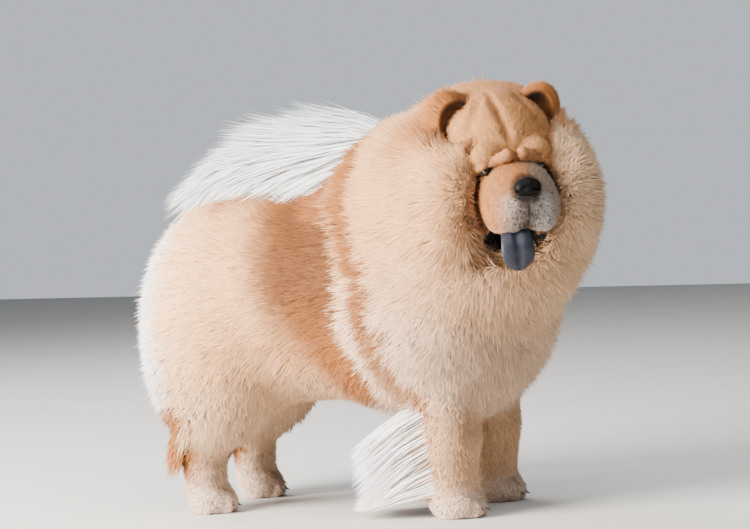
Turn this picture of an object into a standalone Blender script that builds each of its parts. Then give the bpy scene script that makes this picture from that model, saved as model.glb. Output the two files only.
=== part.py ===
"""A standing chow chow, life size, as a still museum model.

Metres, +Z up. The dog faces -Y and its left side is +X. The origin lies on the floor
below the middle of the body. Most shapes are distance fields: a function gives how far
a point lies outside a form, forms are blended, and the zero surface becomes a mesh.
"""

import math
from collections.abc import Callable
from dataclasses import dataclass

import bmesh
import bpy
import numpy as np
import openvdb
from mathutils import Matrix, Vector
from mathutils.bvhtree import BVHTree


def at(forward, left, up):
    """A point given by how far forward, left and up it lies."""
    return np.array([left, -forward, up], float)


# Driving dimensions, in metres. A form's radii run forward, left and up.
BODY_LEVEL = 0.332
BODY_RADIUS = 0.166
RUMP_CENTRE = -0.182
CHEST_CENTRE = 0.160
FORE_FOOT = 0.204
HIND_FOOT = -0.210
FOOT_SPREAD = 0.088
PAWS = (("front", FORE_FOOT, 1.0), ("hind", HIND_FOOT, 0.92))
TOE_STEP = 0.019
TOE_REACH = 0.028
TOE_CURVE = 40.0
TOE_HEIGHT = 0.015
CLAW_SIDES = 5
CLAW_RADIUS = 0.0042
CLAW_LENGTH = 0.019
BONNET_CENTRE = at(0.262, -0.048, 0.462)
BONNET_RADII = (0.145, 0.170, 0.190)
HEAD_YAW = math.radians(-53.5)
HEAD_PITCH = math.radians(9.0)
HEAD_ROLL = math.radians(-5.0)
EYES_FROM_BONNET = at(0.112, 0.005, 0.077)

# Cuts between the nodes, which keep a small gap to one another.
GAP = 0.0003
LEG_TOP = 0.155
LEG_INSIDE = 0.022
TAIL_BASE = 0.487
HEAD_BACK = 0.105
HEAD_BOTTOM = -0.244
NECK_PIVOT = at(0.085, 0.0, 0.400)
NECK_SLANT = math.radians(25.0)
NECK_BOTTOM = -0.150

# The middle of the finished model's box on the floor, which is moved to the origin.
MIDDLE = at(0.0471, -0.0185, 0.0)

HEAD_TURN = np.array(
    Matrix.Rotation(HEAD_YAW, 3, "Z")
    @ Matrix.Rotation(HEAD_PITCH, 3, "X")
    @ Matrix.Rotation(HEAD_ROLL, 3, "Y")
)
EYES = BONNET_CENTRE + HEAD_TURN @ EYES_FROM_BONNET
NECK_END = BONNET_CENTRE + HEAD_TURN @ at(-0.030, 0, 0.012)

# Places on the head, from between the eyes and in the head's own axes.
NOSE_AT = at(0.071, 0.0, -0.017)
MUZZLE_AT = at(0.008, 0.0, -0.042)
FLEW_AT = at(0.034, 0.025, -0.057)
MOUTH_AT = at(0.026, -0.008, -0.101)
JAW_AT = at(0.026, 0.0, -0.108)
SKULL_AT = at(-0.075, 0.0, 0.022)
EYE_AT = at(-0.002, 0.040, 0.000)
EYE_RADIUS = 0.0115
GROOVE_FLOOR = -0.006
FACE_DEPTH = 0.003
EAR_AT = at(-0.072, 0.062, 0.064)

# The tail's middle line from its root, and its radii under the plume.
TAIL_STOPS = [
    at(-0.215, 0, 0.43),
    at(-0.222, 0, 0.500),
    at(-0.170, 0, 0.538),
    at(-0.085, 0, 0.548),
    at(0.035, 0, 0.560),
]
TAIL_RADII = [0.030, 0.030, 0.030, 0.028, 0.016]
TAIL_CLEARANCE = 0.003

# The tongue's middle line from root to tip, with its half width and half thickness.
TONGUE = [
    (at(0.006, -0.006, -0.090), 0.018, 0.0050),
    (at(0.028, -0.013, -0.085), 0.020, 0.0055),
    (at(0.048, -0.018, -0.083), 0.021, 0.0058),
    (at(0.061, -0.020, -0.087), 0.022, 0.0060),
    (at(0.069, -0.021, -0.097), 0.024, 0.0060),
    (at(0.072, -0.021, -0.108), 0.025, 0.0060),
    (at(0.072, -0.021, -0.119), 0.024, 0.0058),
    (at(0.071, -0.021, -0.128), 0.019, 0.0052),
    (at(0.069, -0.021, -0.135), 0.011, 0.0036),
]
TONGUE_GROOVE = 0.0032
TONGUE_SIDES = 14

# Finenesses: the step of each field's grid, and the triangles kept of it.
BODY_STEP, BODY_TRIANGLES = 0.006, 2060
HEAD_STEP, HEAD_TRIANGLES = 0.003, 2500
TAIL_STEP, TAIL_TRIANGLES = 0.004, 260
EAR_STEP, EAR_TRIANGLES = 0.002, 260
NOSE_STEP, NOSE_TRIANGLES = 0.0012, 280

# A lock's stations from root to tip: how far along, and its width and thickness as shares.
STATIONS = [(0.00, 0.72, 1.0), (0.36, 1.00, 1.0), (0.72, 0.78, 0.7)]
TIP = (1.0, 0.0, 0.0)
TRIES_PER_SPOT = 14
ON_CORE = 0.004
EDGE_DROOP = 0.0015
CLEARANCE = 0.0010
FLOOR_CLEARANCE = 0.004
SHORTENINGS = (1.0, 0.85, 0.7, 0.55)

# The tail's locks and the feathers behind the legs.
PLUME_LOCKS = 48
PLUME_LENGTH = 0.145
PLUME_WIDTH = 0.054
PLUME_THICK = 0.010
PLUME_SPACING = 0.028
FEATHERS = 10
FEATHER_SPACING = 0.026
FEATHER_WIDTH = 0.040
FEATHER_THICK = 0.009

COLOURS = {
    "coat": ((0.62, 0.37, 0.20), 0.85),
    "cream": ((0.78, 0.62, 0.47), 0.85),
    "plume": ((0.88, 0.85, 0.82), 0.85),
    "ear": ((0.40, 0.17, 0.05), 0.85),
    "nose": ((0.012, 0.012, 0.016), 0.35),
    "tongue": ((0.040, 0.055, 0.090), 0.45),
    "eye": ((0.020, 0.010, 0.006), 0.08),
}
MATERIALS = {}



def ball(points, centre, radii, turn=None):
    """Signed distance, nearly, to an ellipsoid."""
    local = points - centre
    if turn is not None:
        local = local @ turn
    size = np.array([radii[1], radii[0], radii[2]], float)
    near = np.linalg.norm(local / size, axis=1) + 1e-9
    slope = np.linalg.norm(local / size**2, axis=1) + 1e-9
    return near * (near - 1.0) / slope


def limb(points, start, end, start_radius, end_radius):
    """Signed distance to a tapered rod with round ends."""
    local = points - start
    axis = end - start
    along = np.clip(local @ axis / (axis @ axis), 0.0, 1.0)
    away = np.linalg.norm(local - along[:, None] * axis, axis=1)
    return away - (start_radius + along * (end_radius - start_radius))


def blend(first, second, width):
    """Smooth union of two distance fields."""
    share = np.clip(0.5 + 0.5 * (second - first) / width, 0.0, 1.0)
    return second * (1 - share) + first * share - width * share * (1 - share)


def carve(first, second, width):
    """Smooth cut of the second form out of the first."""
    return -blend(-first, second, width)


def chain(points, stops, radii, width=0.01):
    """Signed distance to a rod that passes through several stops."""
    found = limb(points, stops[0], stops[1], radii[0], radii[1])
    for k in range(1, len(stops) - 1):
        piece = limb(points, stops[k], stops[k + 1], radii[k], radii[k + 1])
        found = blend(found, piece, width)
    return found


def ramp(values, start, end):
    """0 before start, 1 after end, smooth between."""
    share = np.clip((values - start) / (end - start), 0.0, 1.0)
    return share * share * (3 - 2 * share)


def head_axes(points):
    """Points in the head's own axes, measured from between the eyes."""
    return (points - EYES) @ HEAD_TURN


def from_head(point):
    """A place on the head, in the world."""
    return EYES + HEAD_TURN @ point


def both_sides(points):
    """Points folded over onto the left side."""
    folded = points.copy()
    folded[:, 0] = np.abs(folded[:, 0])
    return folded


def trunk_field(points):
    """The coat of the barrel, rump, thighs, chest and neck."""
    folded = both_sides(points)
    loin, withers = at(-0.15, 0, BODY_LEVEL), at(0.14, 0, BODY_LEVEL + 0.008)
    barrel = limb(points, loin, withers, BODY_RADIUS, BODY_RADIUS)
    rump = ball(points, at(RUMP_CENTRE, 0, BODY_LEVEL - 0.008), (0.154, 0.170, 0.158))
    thigh = ball(folded, at(-0.200, 0.085, 0.235), (0.112, 0.090, 0.140))
    chest = ball(points, at(CHEST_CENTRE, 0, 0.316), (0.180, 0.186, 0.188))
    neck = limb(points, at(0.130, 0.005, 0.450), NECK_END, 0.158, 0.165)
    body = blend(barrel, rump, 0.05)
    body = blend(body, thigh, 0.05)
    body = blend(body, chest, 0.06)
    return blend(body, neck, 0.05)


def toe_place(foot, size, k):
    """The middle of one toe, with the leg's midline at FOOT_SPREAD."""
    side = (k - 1.5) * TOE_STEP * size
    return at(foot + TOE_REACH * size - TOE_CURVE * side * side, FOOT_SPREAD + side, TOE_HEIGHT)


def leg_field(points):
    """The four legs with their paws and toes."""
    folded = both_sides(points)
    fore = chain(
        folded,
        [at(0.182, 0.086, 0.24), at(0.191, 0.088, 0.12), at(FORE_FOOT - 0.010, FOOT_SPREAD, 0.035)],
        [0.064, 0.052, 0.040],
    )
    hind = chain(
        folded,
        [
            at(-0.180, 0.085, 0.20),
            at(HIND_FOOT - 0.012, FOOT_SPREAD, 0.115),
            at(HIND_FOOT - 0.008, FOOT_SPREAD, 0.035),
        ],
        [0.070, 0.040, 0.034],
    )
    legs = np.minimum(fore, hind)
    for _, foot, size in PAWS:
        pad = ball(folded, at(foot + 0.002, FOOT_SPREAD, 0.020), (0.040 * size, 0.040 * size, 0.029))
        legs = blend(legs, pad, 0.012)
        for k in range(4):
            toe = ball(folded, toe_place(foot, size, k), (0.021, 0.0115, 0.020))
            legs = blend(legs, toe, 0.005)
    return legs


def face_field(local):
    """The muzzle, lips, brows and forehead, in the head's own axes."""
    folded = both_sides(local)
    skull = ball(local, SKULL_AT, (0.085, 0.084, 0.086))
    brow = ball(folded, at(-0.004, 0.040, 0.022), (0.020, 0.028, 0.019))
    face = blend(skull, brow, 0.010)
    furrow_stops = [at(0.018, 0, 0.022), at(0.004, 0, 0.050), at(-0.022, 0, 0.090)]
    furrow = chain(local, furrow_stops, [0.004, 0.004, 0.002])
    face = carve(face, furrow, 0.008)
    lids = ball(folded, EYE_AT, (0.0170, 0.0170, 0.0165))
    face = blend(face, lids, 0.003)
    slit = ball(folded, EYE_AT + at(0.013, 0.002, -0.001), (0.020, 0.0135, 0.0055))
    face = carve(face, slit, 0.003)
    button = limb(folded, at(0.024, 0.011, 0.023), at(0.012, 0.030, 0.012), 0.0100, 0.0080)
    face = blend(face, button, 0.0015)
    muzzle = ball(local, MUZZLE_AT, (0.066, 0.0575, 0.056))
    flew = ball(folded, FLEW_AT, (0.040, 0.030, 0.036))
    muzzle = blend(muzzle, flew, 0.014)
    cleft = limb(local, at(0.082, 0, -0.050), at(0.066, -0.003, -0.104), 0.0015, 0.022)
    muzzle = carve(muzzle, cleft, 0.006)
    return blend(face, muzzle, 0.002)


def mouth_field(local):
    """The open mouth between the flews and the lower jaw."""
    mouth = ball(local, MOUTH_AT, (0.046, 0.050, 0.022))
    jaw = ball(local, JAW_AT, (0.031, 0.027, 0.020))
    return carve(mouth, jaw, 0.004)


def ear_field(local):
    """Both ears, each a thick rounded cup, in the head's own axes."""
    folded = both_sides(local)
    lean = np.array(Matrix.Rotation(math.radians(20), 3, "Y") @ Matrix.Rotation(math.radians(14), 3, "X"))
    ear = ball(folded, EAR_AT, (0.019, 0.034, 0.044), lean)
    cup = ball(folded, EAR_AT + at(0.015, -0.002, 0.000), (0.015, 0.023, 0.032), lean)
    return carve(ear, cup, 0.004)


def bonnet_field(points, local):
    """The fur round the face and behind it."""
    bonnet = ball(points, BONNET_CENTRE, BONNET_RADII, HEAD_TURN)
    cheek = ball(both_sides(local), at(-0.026, 0.092, -0.055), (0.052, 0.052, 0.085))
    return blend(bonnet, cheek, 0.020)


def open_face(body, local):
    """The coat with the bowl that the face lies in, the grooves beside the muzzle and the ears' hollows."""
    bowl = ball(local, at(0.048, 0, 0.020), (0.062, 0.084, 0.080))
    body = carve(body, bowl, 0.014)
    groove = ball(local, MUZZLE_AT + at(0.004, 0, -0.006), (0.076, 0.066, 0.066))
    body = carve(body, np.maximum(groove, GROOVE_FLOOR + local[:, 1]), 0.008)
    well = ball(both_sides(local), EAR_AT + at(0.028, -0.002, 0.002), (0.024, 0.030, 0.038))
    return carve(body, well, 0.012)


def trunk_depth(points):
    """How deep the coat of the trunk is: most at the chest and breeches, least under the belly."""
    forward, up = -points[:, 1], points[:, 2]
    depth = 0.046 + 0.028 * ramp(forward, 0.06, 0.18) + 0.018 * ramp(-forward, 0.24, 0.34)
    belly = ramp(BODY_LEVEL - up, 0.05, 0.16) * ramp(0.20 - np.abs(forward), 0.0, 0.1)
    return depth - 0.014 * belly


def bonnet_depth(local):
    """How deep the ruff is: short beside the face and on the crown, long behind and below."""
    beside = np.sqrt((local[:, 0] / 0.085) ** 2 + ((local[:, 2] + 0.015) / 0.105) ** 2)
    near_face = (1 - ramp(beside, 0.9, 1.7)) * ramp(0.12 - local[:, 1], 0.0, 0.06)
    crown = ramp(local[:, 2], 0.04, 0.10) * ramp(0.16 - local[:, 1], 0.0, 0.10)
    depth = 0.074 - 0.040 * crown
    return depth + (0.014 - depth) * near_face


def leg_depth(points):
    """How deep the coat of the legs is."""
    return 0.016 - 0.008 * ramp(0.06 - points[:, 2], 0.0, 0.03)


def forms(points, share):
    """The whole dog but its ears and tail, sunk below the coat's outline by a share of the coat's depth."""
    local = head_axes(points)
    body = trunk_field(points) + share * trunk_depth(points)
    body = blend(body, leg_field(points) + share * leg_depth(points), 0.022)
    bonnet = bonnet_field(points, local) + share * bonnet_depth(local)
    body = open_face(blend(body, bonnet, 0.028), local)
    body = blend(body, face_field(local) + share * FACE_DEPTH, 0.002)
    return carve(body, mouth_field(local), 0.003)


def coat_field(points):
    """Signed distance to the outline of the coat."""
    return forms(points, 0.0)


def core_field(points):
    """The solid under the locks, half way from the skin to the tips."""
    return forms(points, 0.5)


def tail_field(points):
    """The tail under its plume, curled forward over the back, with its end clear of the mane's core."""
    tail = chain(points, TAIL_STOPS, TAIL_RADII, 0.012)
    return np.maximum(tail, TAIL_CLEARANCE - core_field(points))


def nose_field(local):
    """The nose pad with its two nostrils, in the head's own axes."""
    folded = both_sides(local)
    pad = ball(local, NOSE_AT, (0.0125, 0.017, 0.0135))
    wing = ball(folded, NOSE_AT + at(0.001, 0.011, -0.001), (0.011, 0.009, 0.010))
    nose = blend(pad, wing, 0.004)
    inner, outer = NOSE_AT + at(0.014, 0.006, -0.001), NOSE_AT + at(0.006, 0.016, -0.004)
    nostril = limb(folded, inner, outer, 0.0032, 0.0022)
    return carve(nose, nostril, 0.002)


def grid_mesh(field, low, high, step, coarse=5):
    """Points, triangles and quads of field's zero surface. Only blocks near it are sampled finely."""
    blocks = np.ceil((high - low) / (step * coarse)).astype(int)
    size = step * coarse
    rows = [low[i] + size * (np.arange(blocks[i]) + 0.5) for i in range(3)]
    centres = np.stack(np.meshgrid(*rows, indexing="ij"), -1)
    rough = field(centres.reshape(-1, 3)).reshape(blocks)
    values = np.repeat(np.repeat(np.repeat(rough, coarse, 0), coarse, 1), coarse, 2)
    near = np.abs(rough) < size * 1.5
    mask = np.repeat(np.repeat(np.repeat(near, coarse, 0), coarse, 1), coarse, 2)
    index = np.argwhere(mask)
    values[mask] = field(low + step * (index + 0.5))
    grid = openvdb.FloatGrid(float(size))
    grid.copyFromArray(values.astype(np.float32))
    points, triangles, quads = grid.convertToPolygons(isovalue=0.0, adaptivity=0.0)
    return points * step + low + step * 0.5, triangles, quads


def mesh_object(name, points, faces, material):
    """A named object with one material."""
    mesh = bpy.data.meshes.new(name)
    mesh.from_pydata([tuple(point) for point in points], [], [tuple(face) for face in faces])
    mesh.validate()
    built = bpy.data.objects.new(name, mesh)
    bpy.context.scene.collection.objects.link(built)
    mesh.materials.append(material)
    return built


def evaluated(thing):
    """Apply the object's modifiers to its mesh."""
    graph = bpy.context.evaluated_depsgraph_get()
    mesh = bpy.data.meshes.new_from_object(thing.evaluated_get(graph))
    thing.modifiers.clear()
    old = thing.data
    thing.data = mesh
    bpy.data.meshes.remove(old)


def field_object(name, field, low, high, step, triangles_wanted, material):
    """A closed body of a distance field, thinned to about the number of triangles wanted."""
    points, triangles, quads = grid_mesh(field, low, high, step)
    faces = [tuple(face) for face in quads] + [tuple(face) for face in triangles]
    built = mesh_object(name, points, faces, material)
    shell = bmesh.new()
    shell.from_mesh(built.data)
    bmesh.ops.triangulate(shell, faces=shell.faces)
    if shell.calc_volume(signed=True) < 0:
        bmesh.ops.reverse_faces(shell, faces=shell.faces)
    count = len(shell.faces)
    shell.to_mesh(built.data)
    shell.free()
    thin = built.modifiers.new("thin", "DECIMATE")
    thin.ratio = min(1.0, triangles_wanted / count)
    thin.use_collapse_triangulate = True
    evaluated(built)
    largest_only(built)
    return built


def largest_only(thing):
    """Keep the largest closed surface of a mesh."""
    shell = bmesh.new()
    shell.from_mesh(thing.data)
    unseen = set(shell.faces)
    groups = []
    while unseen:
        edge_of_group = [unseen.pop()]
        group = list(edge_of_group)
        while edge_of_group:
            face = edge_of_group.pop()
            for edge in face.edges:
                for other in edge.link_faces:
                    if other in unseen:
                        unseen.discard(other)
                        edge_of_group.append(other)
                        group.append(other)
        groups.append(group)
    groups.sort(key=lambda group: -sum(face.calc_area() for face in group))
    for group in groups[1:]:
        bmesh.ops.delete(shell, geom=group, context="FACES")
    loose = [point for point in shell.verts if not point.link_faces]
    bmesh.ops.delete(shell, geom=loose, context="VERTS")
    shell.to_mesh(thing.data)
    shell.free()


def boolean(thing, others, operation, solver="EXACT"):
    """Join the others to the thing, or cut them from it, and remove them."""
    group = bpy.data.collections.new("others")
    for other in others:
        for holder in list(other.users_collection):
            holder.objects.unlink(other)
        group.objects.link(other)
    step = thing.modifiers.new("fuse", "BOOLEAN")
    step.operation = operation
    step.solver = solver
    step.operand_type = "COLLECTION"
    step.collection = group
    evaluated(thing)
    for other in others:
        bpy.data.objects.remove(other)
    bpy.data.collections.remove(group)
    largest_only(thing)


def copy_of(thing, swell=0.0):
    """A copy of a body, with its surface moved out by swell."""
    mesh = thing.data.copy()
    if swell:
        normals = [point.normal.copy() for point in mesh.vertices]
        for point, normal in zip(mesh.vertices, normals):
            point.co += normal * swell
    built = bpy.data.objects.new(thing.name + "_copy", mesh)
    bpy.context.scene.collection.objects.link(built)
    return built


def block(turn, pivot, low, high, grow=0.0):
    """A box in turned axes, for cutting."""
    built = mesh_object("block", np.zeros((0, 3)), [], MATERIALS["coat"])
    shell = bmesh.new()
    bmesh.ops.create_cube(shell, size=1.0)
    low, high = np.array(low) - grow, np.array(high) + grow
    for point in shell.verts:
        spot = (low + high) / 2 + (high - low) * np.array(point.co)
        point.co = Vector(pivot + turn @ spot)
    shell.to_mesh(built.data)
    shell.free()
    return built


def principled(name, colour, roughness):
    """A material with one colour and roughness."""
    made = bpy.data.materials.new(name)
    made.use_nodes = True
    shader = made.node_tree.nodes["Principled BSDF"]
    shader.inputs["Base Color"].default_value = (*colour, 1.0)
    shader.inputs["Roughness"].default_value = roughness
    shader.inputs["Metallic"].default_value = 0.0
    return made


def core_with_tail_root(points):
    """The core with the stub that the tail stands on."""
    root = limb(points, TAIL_STOPS[0], TAIL_STOPS[1], TAIL_RADII[0], TAIL_RADII[1])
    return blend(core_field(points), root, 0.010)


def tongue_object():
    """The tongue, over the lower lip and down, with the groove along its middle."""
    around_it = TONGUE_SIDES
    points, faces = [], []
    for k, (spot, half_width, half_thick) in enumerate(TONGUE):
        before, after = TONGUE[max(k - 1, 0)][0], TONGUE[min(k + 1, len(TONGUE) - 1)][0]
        run = (after - before) / np.linalg.norm(after - before)
        up = np.cross(run, np.array([1.0, 0.0, 0.0]))
        up *= np.sign(up[2] - up[1])
        for step in range(around_it):
            angle = 2 * math.pi * step / around_it
            side, rise = math.cos(angle), math.sin(angle)
            height = half_thick * rise - (TONGUE_GROOVE * math.exp(-((side / 0.3) ** 2)) if rise > 0 else 0)
            points.append(from_head(spot + np.array([half_width * side, 0, 0]) + up * height))
    for k in range(len(TONGUE) - 1):
        for step in range(around_it):
            after = (step + 1) % around_it
            low, high = k * around_it, (k + 1) * around_it
            faces.append((low + step, low + after, high + after, high + step))
    faces.append(tuple(range(around_it)))
    last = (len(TONGUE) - 1) * around_it
    faces.append(tuple(range(last + around_it - 1, last - 1, -1)))
    built = mesh_object("tongue", points, faces, MATERIALS["tongue"])
    face_out(built)
    return built


def face_out(thing):
    """Turn a closed mesh's faces outwards."""
    shell = bmesh.new()
    shell.from_mesh(thing.data)
    bmesh.ops.recalc_face_normals(shell, faces=shell.faces)
    if shell.calc_volume(signed=True) < 0:
        bmesh.ops.reverse_faces(shell, faces=shell.faces)
    shell.to_mesh(thing.data)
    shell.free()


def slope_of(field, points):
    """The unit gradient of a field, which points out of the form."""
    small = 0.001
    slope = np.stack(
        [field(points + small * axis) - field(points - small * axis) for axis in np.eye(3)], axis=1
    )
    return slope / (np.linalg.norm(slope, axis=1)[:, None] + 1e-9)


def settle(points, levels):
    """Move points along the slope of the coat's field until they lie at the given levels."""
    for _ in range(2):
        points = points + slope_of(coat_field, points) * (levels - coat_field(points))[:, None]
    return points


def unit(vectors):
    """Vectors of length one."""
    return vectors / (np.linalg.norm(vectors, axis=-1, keepdims=True) + 1e-9)


def lie_of(points):
    """The way the coat runs: away from the face, back along the trunk, down the rump, chest and legs."""
    forward, up = -points[:, 1], points[:, 2]
    away = unit(points - from_head(at(0.07, 0, -0.035))) + np.array([0, 0, -0.25])
    back = np.tile(np.array([0.3, 1.0, -0.35]), (len(points), 1))
    back[:, 0] *= np.sign(points[:, 0])
    down = np.tile(np.array([0.0, 0.35, -1.0]), (len(points), 1))
    ruff = (ramp(forward, 0.00, 0.12) * ramp(up, 0.22, 0.32))[:, None]
    fall = np.maximum(ramp(-forward, 0.18, 0.30), ramp(0.30 - up, 0.0, 0.10))[:, None]
    trunk = unit(back) * (1 - fall) + unit(down) * fall
    return unit(unit(away) * ruff + trunk * (1 - ruff))


def scatter(thing, spacing, seed):
    """Places drawn evenly over a mesh, many times more than fit at the spacing."""
    draw = np.random.default_rng(seed)
    thing.data.calc_loop_triangles()
    spots = np.array([list(point.co) for point in thing.data.vertices])
    corners = spots[np.array([list(face.vertices) for face in thing.data.loop_triangles])]
    areas = np.linalg.norm(np.cross(corners[:, 1] - corners[:, 0], corners[:, 2] - corners[:, 0]), axis=1)
    tries = int(areas.sum() / 2 / spacing**2 * TRIES_PER_SPOT)
    chosen = corners[draw.choice(len(corners), tries, p=areas / areas.sum())]
    first, second = np.sqrt(draw.random(tries)), draw.random(tries)
    share = np.stack([1 - first, first * (1 - second), first * second], 1)
    return (chosen * share[:, :, None]).sum(1)


def lock_faces():
    """The triangles of one lock: four-sided rings, a root cap and a point."""
    rings = len(STATIONS)
    faces = [(3, 2, 1), (3, 1, 0)]
    for ring in range(rings - 1):
        for side in range(4):
            after = (side + 1) % 4
            low, high = 4 * ring, 4 * ring + 4
            faces.append((low + side, low + after, high + after))
            faces.append((low + side, high + after, high + side))
    tip = 4 * rings
    for side in range(4):
        faces.append((tip - 4 + side, tip - 4 + (side + 1) % 4, tip))
    return faces


def lock_points(lefts, centres, rights, ups, tip, thickness):
    """The points of one lock, from its edges and middle line, with its ridge and keel."""
    points = []
    for k, (_, _, share) in enumerate(STATIONS):
        rise = ups[k] * thickness * share / 2
        points += [lefts[k], centres[k] + rise, rights[k], centres[k] - rise]
    return np.array(points + [tip])


def coat_locks(thing, kind, seed):
    """Flat locks over a node's own stretch of the core, each rising to the coat's outline."""
    draw = np.random.default_rng(seed + 1)
    roots = scatter(thing, kind.spacing, seed)
    roots = roots[np.abs(core_field(roots)) < ON_CORE]
    roots = roots[kind.where(roots)]
    count = len(roots)
    lengths = kind.length(roots) * draw.uniform(0.85, 1.15, count)
    widths = kind.width * draw.uniform(0.85, 1.15, count)
    turns = draw.normal(0.0, kind.wander, count)
    start = coat_field(roots) - kind.sink
    end = np.full(count, -0.5 * kind.thick)
    middle, lefts, rights, ups = [], [], [], []
    here = settle(roots, start)
    reached = 0.0
    for along, width_share, _ in STATIONS + [TIP]:
        normal = slope_of(coat_field, here)
        flow = lie_of(here)
        flow = unit(flow - normal * (flow * normal).sum(1)[:, None])
        side = np.cross(flow, normal)
        flow = unit(flow + side * turns[:, None])
        here = here + flow * ((along - reached) * lengths)[:, None]
        reached = along
        level = start + (end - start) * along**0.8
        here = settle(here, level)
        normal = slope_of(coat_field, here)
        side = unit(np.cross(flow, normal))
        half = (widths * width_share / 2)[:, None]
        middle.append(here)
        lefts.append(settle(here - side * half, level - EDGE_DROOP))
        rights.append(settle(here + side * half, level - EDGE_DROOP))
        ups.append(normal)
    rings = len(STATIONS)
    locks = [
        lock_points(
            [ring[k] for ring in lefts[:rings]],
            [ring[k] for ring in middle[:rings]],
            [ring[k] for ring in rights[:rings]],
            [ring[k] for ring in ups[:rings]],
            middle[rings][k],
            kind.thick,
        )
        for k in range(count)
    ]
    return roots, locks


def swollen(points, amount):
    """A lock's points moved away from its middle line."""
    grown = points.copy()
    for ring in range(len(STATIONS)):
        centre = points[4 * ring : 4 * ring + 4].mean(0)
        grown[4 * ring : 4 * ring + 4] += unit(points[4 * ring : 4 * ring + 4] - centre) * amount
    return grown


def tree_of(thing):
    """A tree of the faces of a body, for finding what touches it."""
    points = [point.co.copy() for point in thing.data.vertices]
    return BVHTree.FromPolygons(points, [list(face.vertices) for face in thing.data.polygons])


def clear_locks(roots, locks, spacing, others):
    """Locks in turn, each far enough from those before and clear of the other nodes and of the floor.

    One that isn't clear is shortened, or left out where that isn't enough.
    """
    trees = [tree_of(other) for other in others]
    faces = lock_faces()
    kept, places = [], []
    for root, points in zip(roots, locks):
        if places and np.linalg.norm(np.array(places) - root, axis=1).min() < spacing:
            continue
        for share in SHORTENINGS:
            tried = shortened(points, share)
            if tried[:, 2].min() < FLOOR_CLEARANCE:
                continue
            tree = BVHTree.FromPolygons([Vector(point) for point in swollen(tried, CLEARANCE)], faces)
            if not any(tree.overlap(other) for other in trees):
                kept.append(tried)
                places.append(root)
                break
    return kept


def shortened(points, share):
    """A lock drawn back towards its root, at the same width."""
    if share == 1.0:
        return points
    rings = np.append(points[:-1].reshape(len(STATIONS), 4, 3).mean(1), points[-1:], axis=0)
    places = np.array([along for along, _, _ in STATIONS] + [1.0])
    moved = np.stack([np.interp(places * share, places, rings[:, axis]) for axis in range(3)], 1)
    shift = np.append(np.repeat(moved[:-1] - rings[:-1], 4, axis=0), moved[-1:] - rings[-1:], axis=0)
    return points + shift


def grow(thing, forms_to_add, faces):
    """Fuse locks or claws, each a list of points, to a node."""
    pieces = []
    for points in forms_to_add:
        piece = mesh_object("form", points, faces, thing.data.materials[0])
        face_out(piece)
        pieces.append(piece)
    if pieces:
        boolean(thing, pieces, "UNION", "MANIFOLD")


def in_head(field):
    """A field given in the head's own axes, read in the world."""
    return lambda points: field(head_axes(points))


def head_cell(grow=0.0):
    """The region of the head, which is cut out of the neck."""
    return block(HEAD_TURN, EYES, (-0.5, -0.5, HEAD_BOTTOM), (0.5, HEAD_BACK, 0.5), grow)


def neck_cell(grow=0.0):
    """The region of the neck, which is cut out of the torso."""
    slant = np.array(Matrix.Rotation(-NECK_SLANT, 3, "X"))
    return block(slant, NECK_PIVOT, (-0.6, -0.6, NECK_BOTTOM), (0.6, 0.0, 0.6), grow)


def leg_cell(left, front, grow=0.0):
    """The region of one leg, below the torso."""
    side = (LEG_INSIDE, 0.4) if left else (-0.4, -LEG_INSIDE)
    length = (-0.5, 0.0) if front else (0.0, 0.5)
    return block(np.eye(3), np.zeros(3), (side[0], length[0], -0.1), (side[1], length[1], LEG_TOP), grow)


def build_body():
    """The core of the head, neck, torso, legs and tail, each a closed body."""
    low, high = span(at(-0.40, -0.25, -0.02), at(0.42, 0.25, 0.72))
    floor = block(np.eye(3), np.zeros(3), (-1, -1, -0.2), (1, 1, 0.0))
    coat = MATERIALS["coat"]
    whole = field_object("whole", core_with_tail_root, low, high, BODY_STEP, BODY_TRIANGLES, coat)
    boolean(whole, [floor], "DIFFERENCE")
    boolean(whole, [head_cell(GAP)], "DIFFERENCE")
    nodes = {}
    nodes["neck"] = copy_of(whole)
    boolean(nodes["neck"], [neck_cell()], "INTERSECT")
    boolean(whole, [neck_cell(GAP)], "DIFFERENCE")
    stub = block(np.eye(3), TAIL_STOPS[1], (-0.06, -0.06, TAIL_BASE - TAIL_STOPS[1][2]), (0.06, 0.06, 0.1))
    boolean(whole, [stub], "DIFFERENCE")
    for place, front in (("front", True), ("hind", False)):
        for side, left in (("left", True), ("right", False)):
            leg = copy_of(whole)
            boolean(leg, [leg_cell(left, front)], "INTERSECT")
            nodes[f"leg_{place}_{side}"] = leg
    for left in (True, False):
        for front in (True, False):
            boolean(whole, [leg_cell(left, front, GAP)], "DIFFERENCE")
    nodes["torso"] = whole
    low, high = span(at(-0.27, -0.05, 0.45), at(0.07, 0.05, 0.62))
    tail = field_object("tail", tail_field, low, high, TAIL_STEP, TAIL_TRIANGLES, MATERIALS["plume"])
    under = block(np.eye(3), np.zeros(3), (-1, -1, 0.3), (1, 1, TAIL_BASE + GAP))
    boolean(tail, [under], "DIFFERENCE")
    nodes["tail"] = tail
    return nodes


def span(first, second):
    """The low and high corners of the box between two places."""
    return np.minimum(first, second), np.maximum(first, second)


def around(centre, reach):
    """The low and high corners of a box about a place."""
    return centre - reach, centre + reach


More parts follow.
